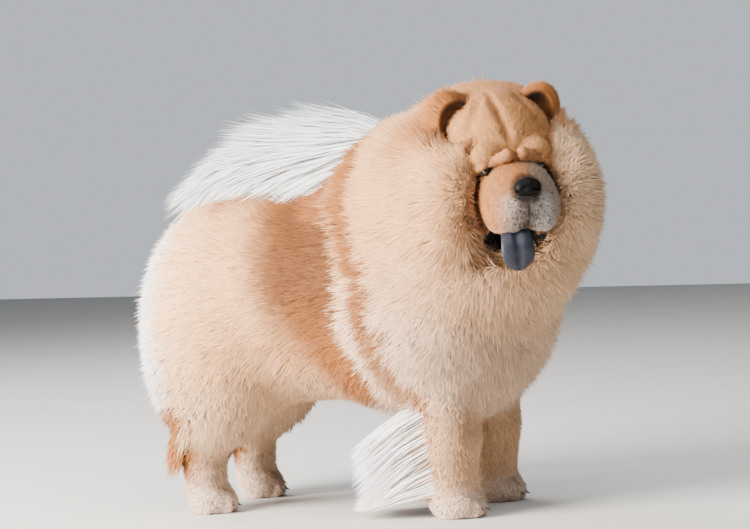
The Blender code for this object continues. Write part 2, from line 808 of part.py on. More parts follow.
def build_head():
    """The head with its face, and the ears, eyes, nose and tongue let into it."""
    centre = BONNET_CENTRE + HEAD_TURN @ at(0.04, 0, 0.02)
    low, high = around(centre, np.array([0.24, 0.24, 0.26]))
    nodes = {}
    head = field_object("head", core_field, low, high, HEAD_STEP, HEAD_TRIANGLES, MATERIALS["coat"])
    boolean(head, [head_cell()], "INTERSECT")
    for side, sign in (("left", 1.0), ("right", -1.0)):
        mirror = np.array([sign, 1.0, 1.0])
        spot = from_head(EAR_AT * mirror)
        reach = np.full(3, 0.060)
        low, high = around(spot, reach)
        ear = field_object(
            f"ear_{side}", in_head(ear_field), low, high, EAR_STEP, EAR_TRIANGLES, MATERIALS["ear"]
        )
        nodes[ear.name] = ear
        eye = mesh_object(f"eye_{side}", np.zeros((0, 3)), [], MATERIALS["eye"])
        shell = bmesh.new()
        bmesh.ops.create_uvsphere(shell, u_segments=14, v_segments=8, radius=EYE_RADIUS)
        place = Matrix(HEAD_TURN.tolist()).to_4x4()
        place.translation = Vector(from_head(EYE_AT * mirror))
        place = place @ Matrix.Rotation(math.radians(90), 4, "X")
        bmesh.ops.transform(shell, matrix=place, verts=shell.verts)
        shell.to_mesh(eye.data)
        shell.free()
        nodes[eye.name] = eye
    low, high = around(from_head(NOSE_AT), np.full(3, 0.028))
    nodes["nose"] = field_object(
        "nose", in_head(nose_field), low, high, NOSE_STEP, NOSE_TRIANGLES, MATERIALS["nose"]
    )
    nodes["tongue"] = tongue_object()
    for node in nodes.values():
        boolean(head, [copy_of(node, GAP)], "DIFFERENCE")
    nodes["head"] = head
    return nodes


def not_on_face(points):
    """Whether points lie in the ruff and not on the face or before the ears."""
    local = head_axes(points)
    beside = np.sqrt((local[:, 0] / 0.090) ** 2 + ((local[:, 2] + 0.010) / 0.110) ** 2)
    return (beside > 0.86) | (local[:, 1] > 0.085)


def off_the_legs(points):
    """Whether points lie on the trunk, above the short coat of the legs."""
    low = np.where(np.abs(points[:, 0]) < 0.06, 0.240, 0.165)
    return points[:, 2] > low


def ruff_length(points):
    """How long the ruff's locks are: longer away from the face."""
    local = head_axes(points)
    return 0.070 + 0.060 * ramp(np.linalg.norm(local[:, [0, 2]], axis=1), 0.08, 0.20)


def trunk_length(points):
    """How long the trunk's locks are: longest in the breeches."""
    forward = -points[:, 1]
    return 0.118 + 0.030 * ramp(-forward, 0.22, 0.32) + 0.015 * ramp(forward, 0.05, 0.15)


@dataclass(frozen=True)
class Coat:
    """How the locks of one stretch of the coat are drawn."""

    spacing: float
    width: float
    thick: float
    sink: float
    wander: float
    length: Callable
    where: Callable


RUFF = Coat(0.048, 0.062, 0.009, 0.005, 0.12, ruff_length, not_on_face)
MANE = Coat(0.056, 0.072, 0.010, 0.006, 0.14, ruff_length, not_on_face)
FLANK = Coat(0.064, 0.086, 0.010, 0.006, 0.10, trunk_length, off_the_legs)


def swept_lock(root, start, end, broad, length, width, thickness):
    """A lock that leaves its root along one direction and bends over to another."""
    lefts, middle, rights, ups = [], [], [], []
    here, reached = np.array(root), 0.0
    for along, width_share, _ in STATIONS + [TIP]:
        flow = unit(start * (1 - along) + end * along)
        here = here + flow * (along - reached) * length
        reached = along
        side = unit(broad - flow * (broad @ flow))
        lefts.append(here - side * width * width_share / 2)
        rights.append(here + side * width * width_share / 2)
        middle.append(here)
        ups.append(np.cross(flow, side))
    rings = len(STATIONS)
    return lock_points(lefts[:rings], middle[:rings], rights[:rings], ups[:rings], middle[-1], thickness)


def plume_locks():
    """The tail's locks, which stand out from it and stream back over the rump."""
    draw = np.random.default_rng(53)
    roots, locks = [], []
    stops = np.array(TAIL_STOPS[1:])
    for k in range(PLUME_LOCKS * TRIES_PER_SPOT):
        share = draw.random() ** 0.8 * (len(stops) - 1)
        stop = min(int(share), len(stops) - 2)
        spot = stops[stop] + (stops[stop + 1] - stops[stop]) * (share - stop)
        run = unit(stops[stop + 1] - stops[stop])
        turn = draw.uniform(-2.5, 2.5)
        across, above = np.array([1.0, 0, 0]), unit(np.cross(np.array([1.0, 0, 0]), run))
        above *= np.sign(above[2] + above[1])
        out = across * math.sin(turn) + above * math.cos(turn)
        radius = np.interp(share, range(len(stops)), TAIL_RADII[1:])
        root = spot + out * (radius - 0.010)
        base = ramp(spot[1], 0.02, 0.20)
        droop = -0.10 + 0.75 * base + 0.45 * ramp(abs(turn), 0.8, 2.0)
        back = unit(np.array([0.0, 1.0, -droop]) + 0.16 * out)
        start = unit(out * 0.55 + back * 0.85)
        broad = np.cross(out, back)
        length = PLUME_LENGTH * draw.uniform(0.85, 1.2) * (1 - 0.42 * base)
        roots.append(spot + out * radius)
        locks.append(swept_lock(root, start, back, broad, length, PLUME_WIDTH, PLUME_THICK))
    return np.array(roots), locks


def feather_locks(left, front):
    """The locks behind one leg: a deep fringe on a foreleg, a short one above a hock."""
    draw = np.random.default_rng(71 + 2 * left + front)
    sign = 1.0 if left else -1.0
    roots, locks = [], []
    for k in range(FEATHERS * TRIES_PER_SPOT):
        height = draw.uniform(0.045, 0.138) if front else draw.uniform(0.112, 0.146)
        line = np.empty((200, 3))
        line[:, 0] = sign * FOOT_SPREAD + draw.uniform(-0.022, 0.022)
        line[:, 1] = np.linspace(-0.30, 0.0, 200) if front else np.linspace(0.10, 0.40, 200)
        line[:, 2] = height
        inside = np.nonzero(core_field(line) < 0)[0]
        if not len(inside):
            continue
        surface = line[inside[-1]]
        out = np.array([draw.uniform(-0.25, 0.25), 1.0, -0.45])
        end = np.array([0.0, 0.55, -1.0])
        length = (0.122 if front else 0.056) * draw.uniform(0.85, 1.15)
        broad = np.array([sign * draw.uniform(0.2, 0.6), 0.35, 1.0])
        roots.append(surface)
        root = surface - np.array([0, 0.010, 0])
        start, end, broad = unit(out), unit(end), unit(broad)
        locks.append(swept_lock(root, start, end, broad, length, FEATHER_WIDTH, FEATHER_THICK))
    return np.array(roots), locks


def grow_claws(nodes):
    """Fuse four claws to each paw."""
    faces = [tuple(range(CLAW_SIDES - 1, -1, -1))]
    faces += [(k, (k + 1) % CLAW_SIDES, CLAW_SIDES) for k in range(CLAW_SIDES)]
    for place, foot, size in PAWS:
        for side, sign in (("left", 1.0), ("right", -1.0)):
            claws = []
            for k in range(4):
                base = toe_place(foot, size, k) + at(0.014, 0, 0.002)
                points = [
                    base + CLAW_RADIUS * np.array([math.cos(turn), 0, math.sin(turn)])
                    for turn in 2 * math.pi * np.arange(CLAW_SIDES) / CLAW_SIDES
                ]
                points.append(base + at(CLAW_LENGTH, 0, -0.008))
                claws.append(np.array(points) * np.array([sign, 1, 1]))
            grow(nodes[f"leg_{place}_{side}"], claws, faces)


def grow_coat(nodes):
    """Fuse the locks of the ruff, mane, trunk, breeches, tail and legs to their nodes."""
    made = []
    for name, kind, seed in (("head", RUFF, 21), ("neck", MANE, 23), ("torso", FLANK, 44)):
        made.append((name, kind.spacing, coat_locks(nodes[name], kind, seed)))
    made.append(("tail", PLUME_SPACING, plume_locks()))
    for front, place in ((True, "front"), (False, "hind")):
        for left, side in ((True, "left"), (False, "right")):
            made.append((f"leg_{place}_{side}", FEATHER_SPACING, feather_locks(left, front)))
    for name, spacing, (roots, locks) in made:
        others = [node for other, node in nodes.items() if other != name]
        grow(nodes[name], clear_locks(roots, locks, spacing, others), lock_faces())


def main():
    """Build every node, with the model's middle at the origin."""
    for thing in list(bpy.data.objects):
        bpy.data.objects.remove(thing)
    for name, (colour, roughness) in COLOURS.items():
        MATERIALS[name] = principled(name, colour, roughness)
    nodes = build_body()
    nodes.update(build_head())
    grow_claws(nodes)
    grow_coat(nodes)
    for name, node in nodes.items():
        node.name = name
        node.data.name = name
        node.data.transform(Matrix.Translation(Vector(-MIDDLE)))
        node.data.shade_smooth()


if __name__ == "__main__":
    main()
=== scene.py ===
"""Looks of a life-size standing chow chow model: skin, coat, face, studio.

The coat's outline, the skin under it and the face are distance fields in the dog's own
axes, in metres: +X its left, -Y forward, +Z up, with the origin on the floor below the
middle of the body. Finished pieces are moved from there into the frame's axes.
"""

import logging
import math
from collections.abc import Callable, Iterable
from dataclasses import dataclass, field, replace
from enum import Enum

import bmesh
import bpy
import numpy as np
import openvdb
from mathutils import Matrix, Vector

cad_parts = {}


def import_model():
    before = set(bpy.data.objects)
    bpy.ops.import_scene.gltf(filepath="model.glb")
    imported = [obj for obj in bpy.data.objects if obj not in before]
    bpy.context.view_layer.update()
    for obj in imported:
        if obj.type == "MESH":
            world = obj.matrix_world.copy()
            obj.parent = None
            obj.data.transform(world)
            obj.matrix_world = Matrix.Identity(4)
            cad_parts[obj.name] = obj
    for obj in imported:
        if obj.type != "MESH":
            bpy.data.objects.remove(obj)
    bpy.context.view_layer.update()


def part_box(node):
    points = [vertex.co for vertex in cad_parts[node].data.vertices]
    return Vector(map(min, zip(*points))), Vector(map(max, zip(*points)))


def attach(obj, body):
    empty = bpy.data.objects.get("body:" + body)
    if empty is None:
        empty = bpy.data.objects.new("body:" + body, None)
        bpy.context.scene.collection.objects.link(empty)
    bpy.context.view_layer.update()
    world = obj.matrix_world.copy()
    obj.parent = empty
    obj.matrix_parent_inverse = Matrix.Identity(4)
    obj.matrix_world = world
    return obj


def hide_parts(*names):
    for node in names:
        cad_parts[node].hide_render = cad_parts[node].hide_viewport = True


LOG = logging.getLogger("chow")
BAKE_MAP = "OFBake"
COLOUR = "coat_colour"
STRAND = "strand"

Array = np.ndarray
Field = Callable[[Array], Array]


def at(forward: float, left: float, up: float) -> Array:
    """A point given by how far forward, left and up it lies.

    Args:
        forward: Distance towards the dog's front.
        left: Distance towards its left.
        up: Height.

    Returns:
        The point.
    """
    return np.array([left, -forward, up], float)


def unit(vectors: Array) -> Array:
    """Vectors of length one.

    Args:
        vectors: One vector or many, in the last axis.

    Returns:
        The same directions with length one.
    """
    return vectors / (np.linalg.norm(vectors, axis=-1, keepdims=True) + 1e-9)


def ramp(values: Array, start: float, end: float) -> Array:
    """A smooth step.

    Args:
        values: Where to read it.
        start: Where it leaves 0.
        end: Where it reaches 1.

    Returns:
        0 before start, 1 after end, smooth between.
    """
    share = np.clip((values - start) / (end - start), 0.0, 1.0)
    return share * share * (3 - 2 * share)


def ball(points: Array, centre: Array, radii: Iterable[float], turn: Array | None = None) -> Array:
    """Signed distance, nearly, to an ellipsoid.

    Args:
        points: Where to read it.
        centre: Its middle.
        radii: Its radii forward, left and up.
        turn: Its axes, as a rotation, or None for the points' own.

    Returns:
        The distance, negative inside.
    """
    local = points - centre
    if turn is not None:
        local = local @ turn
    forward, left, up = radii
    size = np.array([left, forward, up], float)
    near = np.linalg.norm(local / size, axis=1) + 1e-9
    slope = np.linalg.norm(local / size**2, axis=1) + 1e-9
    return near * (near - 1.0) / slope


def limb(points: Array, start: Array, end: Array, start_radius: float, end_radius: float) -> Array:
    """Signed distance to a tapered rod with round ends.

    Args:
        points: Where to read it.
        start: The middle of its first end.
        end: The middle of its last end.
        start_radius: Its radius at the first end.
        end_radius: Its radius at the last end.

    Returns:
        The distance, negative inside.
    """
    local = points - start
    axis = end - start
    along = np.clip(local @ axis / (axis @ axis), 0.0, 1.0)
    away = np.linalg.norm(local - along[:, None] * axis, axis=1)
    return away - (start_radius + along * (end_radius - start_radius))


def blend(first: Array, second: Array, width: float) -> Array:
    """Smooth union of two distance fields.

    Args:
        first: One field's values.
        second: The other's values.
        width: How wide the fillet between them is.

    Returns:
        The joined values.
    """
    share = np.clip(0.5 + 0.5 * (second - first) / width, 0.0, 1.0)
    return second * (1 - share) + first * share - width * share * (1 - share)


def carve(first: Array, second: Array, width: float) -> Array:
    """Smooth cut of the second form out of the first.

    Args:
        first: The form's values.
        second: The cutter's values.
        width: How wide the rounding of the cut's edge is.

    Returns:
        The values of what is left.
    """
    return -blend(-first, second, width)


def chain(points: Array, stops: list[Array], radii: list[float], width: float = 0.01) -> Array:
    """Signed distance to a rod that passes through several stops.

    Args:
        points: Where to read it.
        stops: The places that its middle passes.
        radii: Its radius at each.
        width: The fillet between its stretches.

    Returns:
        The distance, negative inside.
    """
    found = limb(points, stops[0], stops[1], radii[0], radii[1])
    for k in range(1, len(stops) - 1):
        piece = limb(points, stops[k], stops[k + 1], radii[k], radii[k + 1])
        found = blend(found, piece, width)
    return found


def both_sides(points: Array) -> Array:
    """Points folded over onto the left side.

    Args:
        points: Points on either side.

    Returns:
        Their mirror images on the left.
    """
    folded = points.copy()
    folded[:, 0] = np.abs(folded[:, 0])
    return folded


def waves(points: Array, size: float, seed: int) -> Array:
    """A smooth wandering vector at each point, made of a few sines.

    Args:
        points: Where to read it.
        size: The length of a wave, in metres.
        seed: Which pattern.

    Returns:
        Vectors of about unit size.
    """
    draw = np.random.default_rng(seed)
    found = np.zeros_like(points)
    for _ in range(5):
        run = unit(draw.normal(size=3)) * 2 * math.pi / (size * draw.uniform(0.7, 1.5))
        found += np.sin(points @ run + draw.uniform(0, 6.3))[:, None] * draw.normal(size=3)
    return found / 2.2


def srgb(red: int, green: int, blue: int) -> Array:
    """A colour as seen, turned to the linear values that materials take.

    Args:
        red: Red, 0 to 255.
        green: Green, 0 to 255.
        blue: Blue, 0 to 255.

    Returns:
        Linear red, green and blue.
    """
    shown = np.array([red, green, blue], float) / 255.0
    return np.where(shown <= 0.04045, shown / 12.92, ((shown + 0.055) / 1.055) ** 2.4)


@dataclass(frozen=True)
class Head:
    """Where the head is and which way it looks, with its forms in its own axes."""

    bonnet_centre: Array = field(default_factory=lambda: at(0.262, -0.048, 0.462))
    bonnet_radii: tuple[float, float, float] = (0.145, 0.170, 0.190)
    yaw: float = math.radians(-53.5)
    pitch: float = math.radians(9.0)
    roll: float = math.radians(-5.0)
    eyes_from_bonnet: Array = field(default_factory=lambda: at(0.112, 0.005, 0.077))
    nose_at: Array = field(default_factory=lambda: at(0.071, 0.0, -0.017))
    muzzle_at: Array = field(default_factory=lambda: at(0.008, 0.0, -0.042))
    flew_at: Array = field(default_factory=lambda: at(0.034, 0.025, -0.057))
    mouth_at: Array = field(default_factory=lambda: at(0.026, -0.008, -0.101))
    jaw_at: Array = field(default_factory=lambda: at(0.026, 0.0, -0.108))
    skull_at: Array = field(default_factory=lambda: at(-0.075, 0.0, 0.022))
    eye_at: Array = field(default_factory=lambda: at(-0.002, 0.040, 0.000))
    ear_at: Array = field(default_factory=lambda: at(-0.072, 0.062, 0.064))
    eye_radius: float = 0.0115
    groove_floor: float = -0.006
    face_depth: float = 0.003

    @property
    def turn(self) -> Array:
        """The head's axes as a rotation."""
        return np.array(
            Matrix.Rotation(self.yaw, 3, "Z")
            @ Matrix.Rotation(self.pitch, 3, "X")
            @ Matrix.Rotation(self.roll, 3, "Y")
        )

    @property
    def eyes(self) -> Array:
        """The place between the eyes, from which the head's own axes are measured."""
        return self.bonnet_centre + self.turn @ self.eyes_from_bonnet

    def axes(self, points: Array) -> Array:
        """Points in the head's own axes.

        Args:
            points: Points in the dog's axes.

        Returns:
            The same points, measured from between the eyes.
        """
        return (points - self.eyes) @ self.turn

    def place(self, point: Array) -> Array:
        """A place on the head.

        Args:
            point: One point or many in the head's own axes.

        Returns:
            The same in the dog's axes.
        """
        return self.eyes + np.asarray(point) @ self.turn.T

    def button(self, local: Array) -> Array:
        """The two small pads of the brows, above the inner ends of the eyes.

        Args:
            local: Points in the head's own axes.

        Returns:
            The distance, negative inside.
        """
        return limb(both_sides(local), at(0.024, 0.011, 0.023), at(0.012, 0.030, 0.012), 0.0100, 0.0080)

    def slit(self, local: Array) -> Array:
        """The openings between the lids.

        Args:
            local: Points in the head's own axes.

        Returns:
            The distance, negative inside.
        """
        flat = both_sides(local) * [1.0, 0.0, 1.0]
        inner, outer = self.eye_at + at(0.0, -0.009, 0.0035), self.eye_at + at(0.0, 0.011, -0.0050)
        opening = limb(flat, inner * [1, 0, 1], outer * [1, 0, 1], 0.0034, 0.0030)
        return np.maximum(opening, local[:, 1] - self.eye_at[1] - 0.004)

    def furrow(self, local: Array) -> Array:
        """The crease down the middle of the forehead.

        Args:
            local: Points in the head's own axes.

        Returns:
            The distance, negative inside.
        """
        stops = [at(0.018, 0, 0.022), at(0.003, -0.004, 0.050), at(-0.020, -0.009, 0.084), at(-0.050, -0.012, 0.103)]
        return chain(local, stops, [0.0022, 0.0024, 0.0020, 0.0010])

    def frown(self, local: Array) -> Array:
        """The creases from the outer ends of the eyes to the top of the forehead.

        Args:
            local: Points in the head's own axes.

        Returns:
            The distance, negative inside.
        """
        stops = [at(-0.012, 0.061, 0.000), at(-0.009, 0.058, 0.030), at(-0.018, 0.050, 0.064), at(-0.046, 0.027, 0.098)]
        return chain(both_sides(local), stops, [0.0010, 0.0020, 0.0022, 0.0015])

    def brow(self, local: Array) -> Array:
        """The skull with its brows, lids and furrow, but no buttons.

        Args:
            local: Points in the head's own axes.

        Returns:
            The distance, negative inside.
        """
        folded = both_sides(local)
        face = ball(local, self.skull_at, (0.085, 0.084, 0.086))
        face = blend(face, ball(folded, at(-0.003, 0.036, 0.022), (0.020, 0.024, 0.019)), 0.010)
        face = carve(face, self.furrow(local), 0.006)
        face = carve(face, self.frown(local), 0.006)
        face = blend(face, ball(folded, self.eye_at, (0.0170, 0.0170, 0.0165)), 0.003)
        return carve(face, self.slit(local), 0.003)

    def muzzle(self, local: Array) -> Array:
        """The ball of the muzzle with its flews.

        Args:
            local: Points in the head's own axes.

        Returns:
            The distance, negative inside.
        """
        muzzle = ball(local, self.muzzle_at, (0.066, 0.0575, 0.056))
        flew = ball(both_sides(local), self.flew_at, (0.040, 0.030, 0.036))
        muzzle = blend(muzzle, flew, 0.014)
        cleft = limb(local, at(0.082, 0, -0.050), at(0.066, -0.003, -0.104), 0.0015, 0.022)
        return carve(muzzle, cleft, 0.006)

    def face(self, local: Array) -> Array:
        """The muzzle, lips, brows and forehead.

        Args:
            local: Points in the head's own axes.

        Returns:
            The distance, negative inside.
        """
        face = blend(self.brow(local), self.button(local), 0.0015)
        return blend(face, self.muzzle(local), 0.002)

    def face_coat(self, local: Array) -> Array:
        """How deep the coat of the face is.

        Args:
            local: Points in the head's own axes.

        Returns:
            The depth: least on the muzzle and the lids.
        """
        above = ramp(local[:, 2] + local[:, 1], 0.016, 0.050)
        return self.face_depth * (1 + 1.8 * above)

    def mouth(self, local: Array) -> Array:
        """The open mouth between the flews and the lower jaw.

        Args:
            local: Points in the head's own axes.

        Returns:
            The distance, negative inside.
        """
        mouth = ball(local, self.mouth_at, (0.046, 0.050, 0.022))
        return carve(mouth, ball(local, self.jaw_at, (0.031, 0.027, 0.020)), 0.004)

    def ear(self, local: Array) -> Array:
        """Both ears, each a thick rounded cup.

        Args:
            local: Points in the head's own axes.

        Returns:
            The distance, negative inside.
        """
        folded = both_sides(local)
        lean = np.array(Matrix.Rotation(math.radians(20), 3, "Y") @ Matrix.Rotation(math.radians(14), 3, "X"))
        ear = ball(folded, self.ear_at, (0.019, 0.034, 0.044), lean)
        cup = ball(folded, self.ear_at + at(0.015, -0.002, 0.000), (0.015, 0.023, 0.032), lean)
        return carve(ear, cup, 0.004)

    def bonnet(self, points: Array, local: Array) -> Array:
        """The outline of the fur round the face and behind it.

        Args:
            points: Points in the dog's axes.
            local: The same in the head's own axes.

        Returns:
            The distance, negative inside.
        """
        bonnet = ball(points, self.bonnet_centre, self.bonnet_radii, self.turn)
        cheek = ball(both_sides(local), at(-0.026, 0.092, -0.055), (0.052, 0.052, 0.085))
        return blend(bonnet, cheek, 0.020)

    def bonnet_depth(self, local: Array) -> Array:
        """How deep the ruff is: short beside the face and on the crown, long behind and below.

        Args:
            local: Points in the head's own axes.

        Returns:
            The depth of the coat.
        """
        beside = np.sqrt((local[:, 0] / 0.085) ** 2 + ((local[:, 2] + 0.015) / 0.105) ** 2)
        near_face = (1 - ramp(beside, 0.9, 1.7)) * ramp(0.12 - local[:, 1], 0.0, 0.06)
        crown = ramp(local[:, 2], 0.04, 0.10) * ramp(0.16 - local[:, 1], 0.0, 0.10)
        depth = 0.074 - 0.040 * crown
        return depth + (0.014 - depth) * near_face

    def opened(self, body: Array, local: Array) -> Array:
        """The coat with the bowl that the face lies in and the ears' hollows.

        Args:
            body: The coat's values.
            local: The points in the head's own axes.

        Returns:
            The values with the bowl, the grooves beside the muzzle and the wells cut out.
        """
        bowl = ball(local, at(0.048, 0, 0.020), (0.062, 0.084, 0.080))
        body = carve(body, bowl, 0.014)
        groove = ball(local, self.muzzle_at + at(0.004, 0, -0.006), (0.076, 0.066, 0.066))
        body = carve(body, np.maximum(groove, self.groove_floor + local[:, 1]), 0.008)
        well = ball(both_sides(local), self.ear_at + at(0.028, -0.002, 0.002), (0.024, 0.030, 0.038))
        return carve(body, well, 0.012)


@dataclass(frozen=True)
class Dog:
    """The dog's body as fields: its coat's outline, the skin below it and the way the coat lies."""

    head: Head = field(default_factory=Head)
    level: float = 0.332
    radius: float = 0.166
    rump_centre: float = -0.182
    chest_centre: float = 0.160
    fore_foot: float = 0.204
    hind_foot: float = -0.210
    foot_spread: float = 0.088
    hind_paw: float = 0.92
    toe_step: float = 0.019
    toe_reach: float = 0.028
    toe_curve: float = 40.0
    toe_height: float = 0.015
    tail_radii: tuple[float, ...] = (0.030, 0.030, 0.030, 0.028, 0.016)
    skin_share: float = 0.62

    @property
    def paws(self) -> tuple[tuple[str, float, float], ...]:
        """Each pair of paws: its name, place and size."""
        return (("front", self.fore_foot, 1.0), ("hind", self.hind_foot, self.hind_paw))

    @property
    def tail_stops(self) -> list[Array]:
        """The places that the middle of the tail passes, from its root."""
        return [
            at(-0.215, 0, 0.43),
            at(-0.222, 0, 0.500),
            at(-0.170, 0, 0.538),
            at(-0.085, 0, 0.548),
            at(0.035, 0, 0.560),
        ]

    def trunk(self, points: Array) -> Array:
        """The outline of the barrel, rump, thighs, chest and neck.

        Args:
            points: Where to read it.

        Returns:
            The distance, negative inside.
        """
        folded = both_sides(points)
        loin, withers = at(-0.15, 0, self.level), at(0.14, 0, self.level + 0.008)
        barrel = limb(points, loin, withers, self.radius, self.radius)
        rump = ball(points, at(self.rump_centre, 0, self.level - 0.008), (0.154, 0.170, 0.158))
        thigh = ball(folded, at(-0.200, 0.085, 0.235), (0.112, 0.090, 0.140))
        chest = ball(points, at(self.chest_centre, 0, 0.316), (0.180, 0.186, 0.188))
        neck_end = self.head.bonnet_centre + self.head.turn @ at(-0.030, 0, 0.012)
        neck = limb(points, at(0.130, 0.005, 0.450), neck_end, 0.158, 0.165)
        body = blend(barrel, rump, 0.05)
        body = blend(body, thigh, 0.05)
        body = blend(body, chest, 0.06)
        return blend(body, neck, 0.05)

    def trunk_depth(self, points: Array) -> Array:
        """How deep the coat of the trunk is.

        Args:
            points: Where to read it.

        Returns:
            The depth: most at the chest and breeches, least under the belly.
        """
        forward, up = -points[:, 1], points[:, 2]
        depth = 0.046 + 0.028 * ramp(forward, 0.06, 0.18) + 0.018 * ramp(-forward, 0.24, 0.34)
        belly = ramp(self.level - up, 0.05, 0.16) * ramp(0.20 - np.abs(forward), 0.0, 0.1)
        return depth - 0.014 * belly

    def toe(self, foot: float, size: float, k: int) -> Array:
        """The middle of one toe of a left paw.

        Args:
            foot: How far forward the paw stands.
            size: The paw's size.
            k: Which toe, from the inside.

        Returns:
            Its place.
        """
        side = (k - 1.5) * self.toe_step * size
        ahead = foot + self.toe_reach * size - self.toe_curve * side * side
        return at(ahead, self.foot_spread + side, self.toe_height)

    def legs(self, points: Array) -> Array:
        """The outline of the four legs with their paws and toes.

        Args:
            points: Where to read it.

        Returns:
            The distance, negative inside.
        """
        folded = both_sides(points)
        spread, fore_foot, hind_foot = self.foot_spread, self.fore_foot, self.hind_foot
        fore_stops = [at(0.182, 0.086, 0.24), at(0.191, 0.088, 0.12), at(fore_foot - 0.010, spread, 0.035)]
        hind_stops = [
            at(-0.180, 0.085, 0.20),
            at(hind_foot - 0.012, spread, 0.115),
            at(hind_foot - 0.008, spread, 0.035),
        ]
        fore = chain(folded, fore_stops, [0.064, 0.052, 0.040])
        hind = chain(folded, hind_stops, [0.070, 0.040, 0.034])
        legs = np.minimum(fore, hind)
        for _, foot, size in self.paws:
            pad = ball(folded, at(foot + 0.002, spread, 0.020), (0.040 * size, 0.040 * size, 0.029))
            legs = blend(legs, pad, 0.012)
            for k in range(4):
                legs = blend(legs, ball(folded, self.toe(foot, size, k), (0.021, 0.0115, 0.020)), 0.005)
        return legs

    def leg_depth(self, points: Array) -> Array:
        """How deep the coat of the legs is.

        Args:
            points: Where to read it.

        Returns:
            The depth: least on the paws.
        """
        return 0.016 - 0.008 * ramp(0.06 - points[:, 2], 0.0, 0.03)

    def tail(self, points: Array) -> Array:
        """The tail under its plume, curled forward over the back.

        Args:
            points: Where to read it.

        Returns:
            The distance, negative inside.
        """
        return chain(points, self.tail_stops, list(self.tail_radii), 0.012)

    def forms(self, points: Array, share: float) -> Array:
        """The whole dog but its ears and tail, sunk below the coat's outline.

        Args:
            points: Where to read it.
            share: How far down it lies, as a share of the coat's depth.

        Returns:
            The distance, negative inside.
        """
        head = self.head
        local = head.axes(points)
        body = self.trunk(points) + share * self.trunk_depth(points)
        body = blend(body, self.legs(points) + share * self.leg_depth(points), 0.022)
        bonnet = head.bonnet(points, local) + share * head.bonnet_depth(local)
        body = head.opened(blend(body, bonnet, 0.028), local)
        body = blend(body, head.face(local) + share * head.face_coat(local), 0.002)
        return carve(body, head.mouth(local), 0.003)

    def outline(self, points: Array) -> Array:
        """Signed distance to the tips of the coat."""
        return self.forms(points, 0.0)

    def skin(self, points: Array) -> Array:
        """Signed distance to the skin, with the ears and the tail.

        Args:
            points: Where to read it.

        Returns:
            The distance, negative inside.
        """
        body = self.forms(points, self.skin_share)
        body = blend(body, self.head.ear(self.head.axes(points)) + 0.002, 0.006)
        return blend(body, self.tail(points) + 0.004, 0.010)

    def lie(self, points: Array) -> Array:
        """The way the coat runs.

        Args:
            points: Where to read it.

        Returns:
            Directions: away from the face, back along the trunk, down the rump, chest and legs.
        """
        forward, up = -points[:, 1], points[:, 2]
        count = len(points)
        away = unit(points - self.head.place(at(0.07, 0, -0.035))) + np.array([0, 0, -0.25])
        back = np.tile(np.array([0.3, 1.0, -0.35]), (count, 1))
        back[:, 0] *= np.sign(points[:, 0])
        down = np.tile(np.array([0.0, 0.35, -1.0]), (count, 1))
        ruff = (ramp(forward, 0.00, 0.12) * ramp(up, 0.22, 0.32))[:, None]
        fall = np.maximum(ramp(-forward, 0.18, 0.30), ramp(0.30 - up, 0.0, 0.10))[:, None]
        trunk = unit(back) * (1 - fall) + unit(down) * fall
        return unit(unit(away) * ruff + trunk * (1 - ruff))


def slope(shape: Field, points: Array) -> Array:
    """The unit gradient of a field, which points out of the form.

    Args:
        shape: The field.
        points: Where to read it.

    Returns:
        The directions.
    """
    small = 0.001
    rise = [shape(points + small * axis) - shape(points - small * axis) for axis in np.eye(3)]
    return unit(np.stack(rise, axis=1))


@dataclass(frozen=True)
class Tones:
    """The coat's colours, fuller than they look, as the view pales what is bright."""

    cream: Array = field(default_factory=lambda: srgb(243, 197, 158))
    white: Array = field(default_factory=lambda: srgb(242, 246, 253))
    apricot: Array = field(default_factory=lambda: srgb(206, 147, 95))
    peach: Array = field(default_factory=lambda: srgb(243, 186, 136))
    orange: Array = field(default_factory=lambda: srgb(155, 94, 45))
    saddle: Array = field(default_factory=lambda: srgb(103, 61, 29))
    # fawn is the coat's own tone on the hind legs; elsewhere it also stands for painted shade, on the ruff's far side,
    # the throat and under the face
    fawn: Array = field(default_factory=lambda: srgb(221, 188, 153))
    forehead: Array = field(default_factory=lambda: srgb(191, 133, 84))
    muzzle: Array = field(default_factory=lambda: srgb(168, 109, 61))
    ear: Array = field(default_factory=lambda: srgb(173, 108, 53))
    # painted shade of the ears' hollows
    ear_hollow_shade: Array = field(default_factory=lambda: srgb(69, 38, 18))
    # painted shade: the dark laid in the folds of the face
    crease: Array = field(default_factory=lambda: srgb(60, 35, 19))
    black: Array = field(default_factory=lambda: srgb(24, 20, 20))
    # grey is the muzzle's own tone below the nose, and painted shade on its far side
    grey: Array = field(default_factory=lambda: srgb(115, 108, 101))


def mix(first: Array, second: Array, share: Array) -> Array:
    """One colour passing into another.

    Args:
        first: The colour where share is 0.
        second: The colour where share is 1.
        share: How far along, at each point.

    Returns:
        The colour at each point.
    """
    return first + (second - first) * np.clip(share, 0.0, 1.0)[:, None]


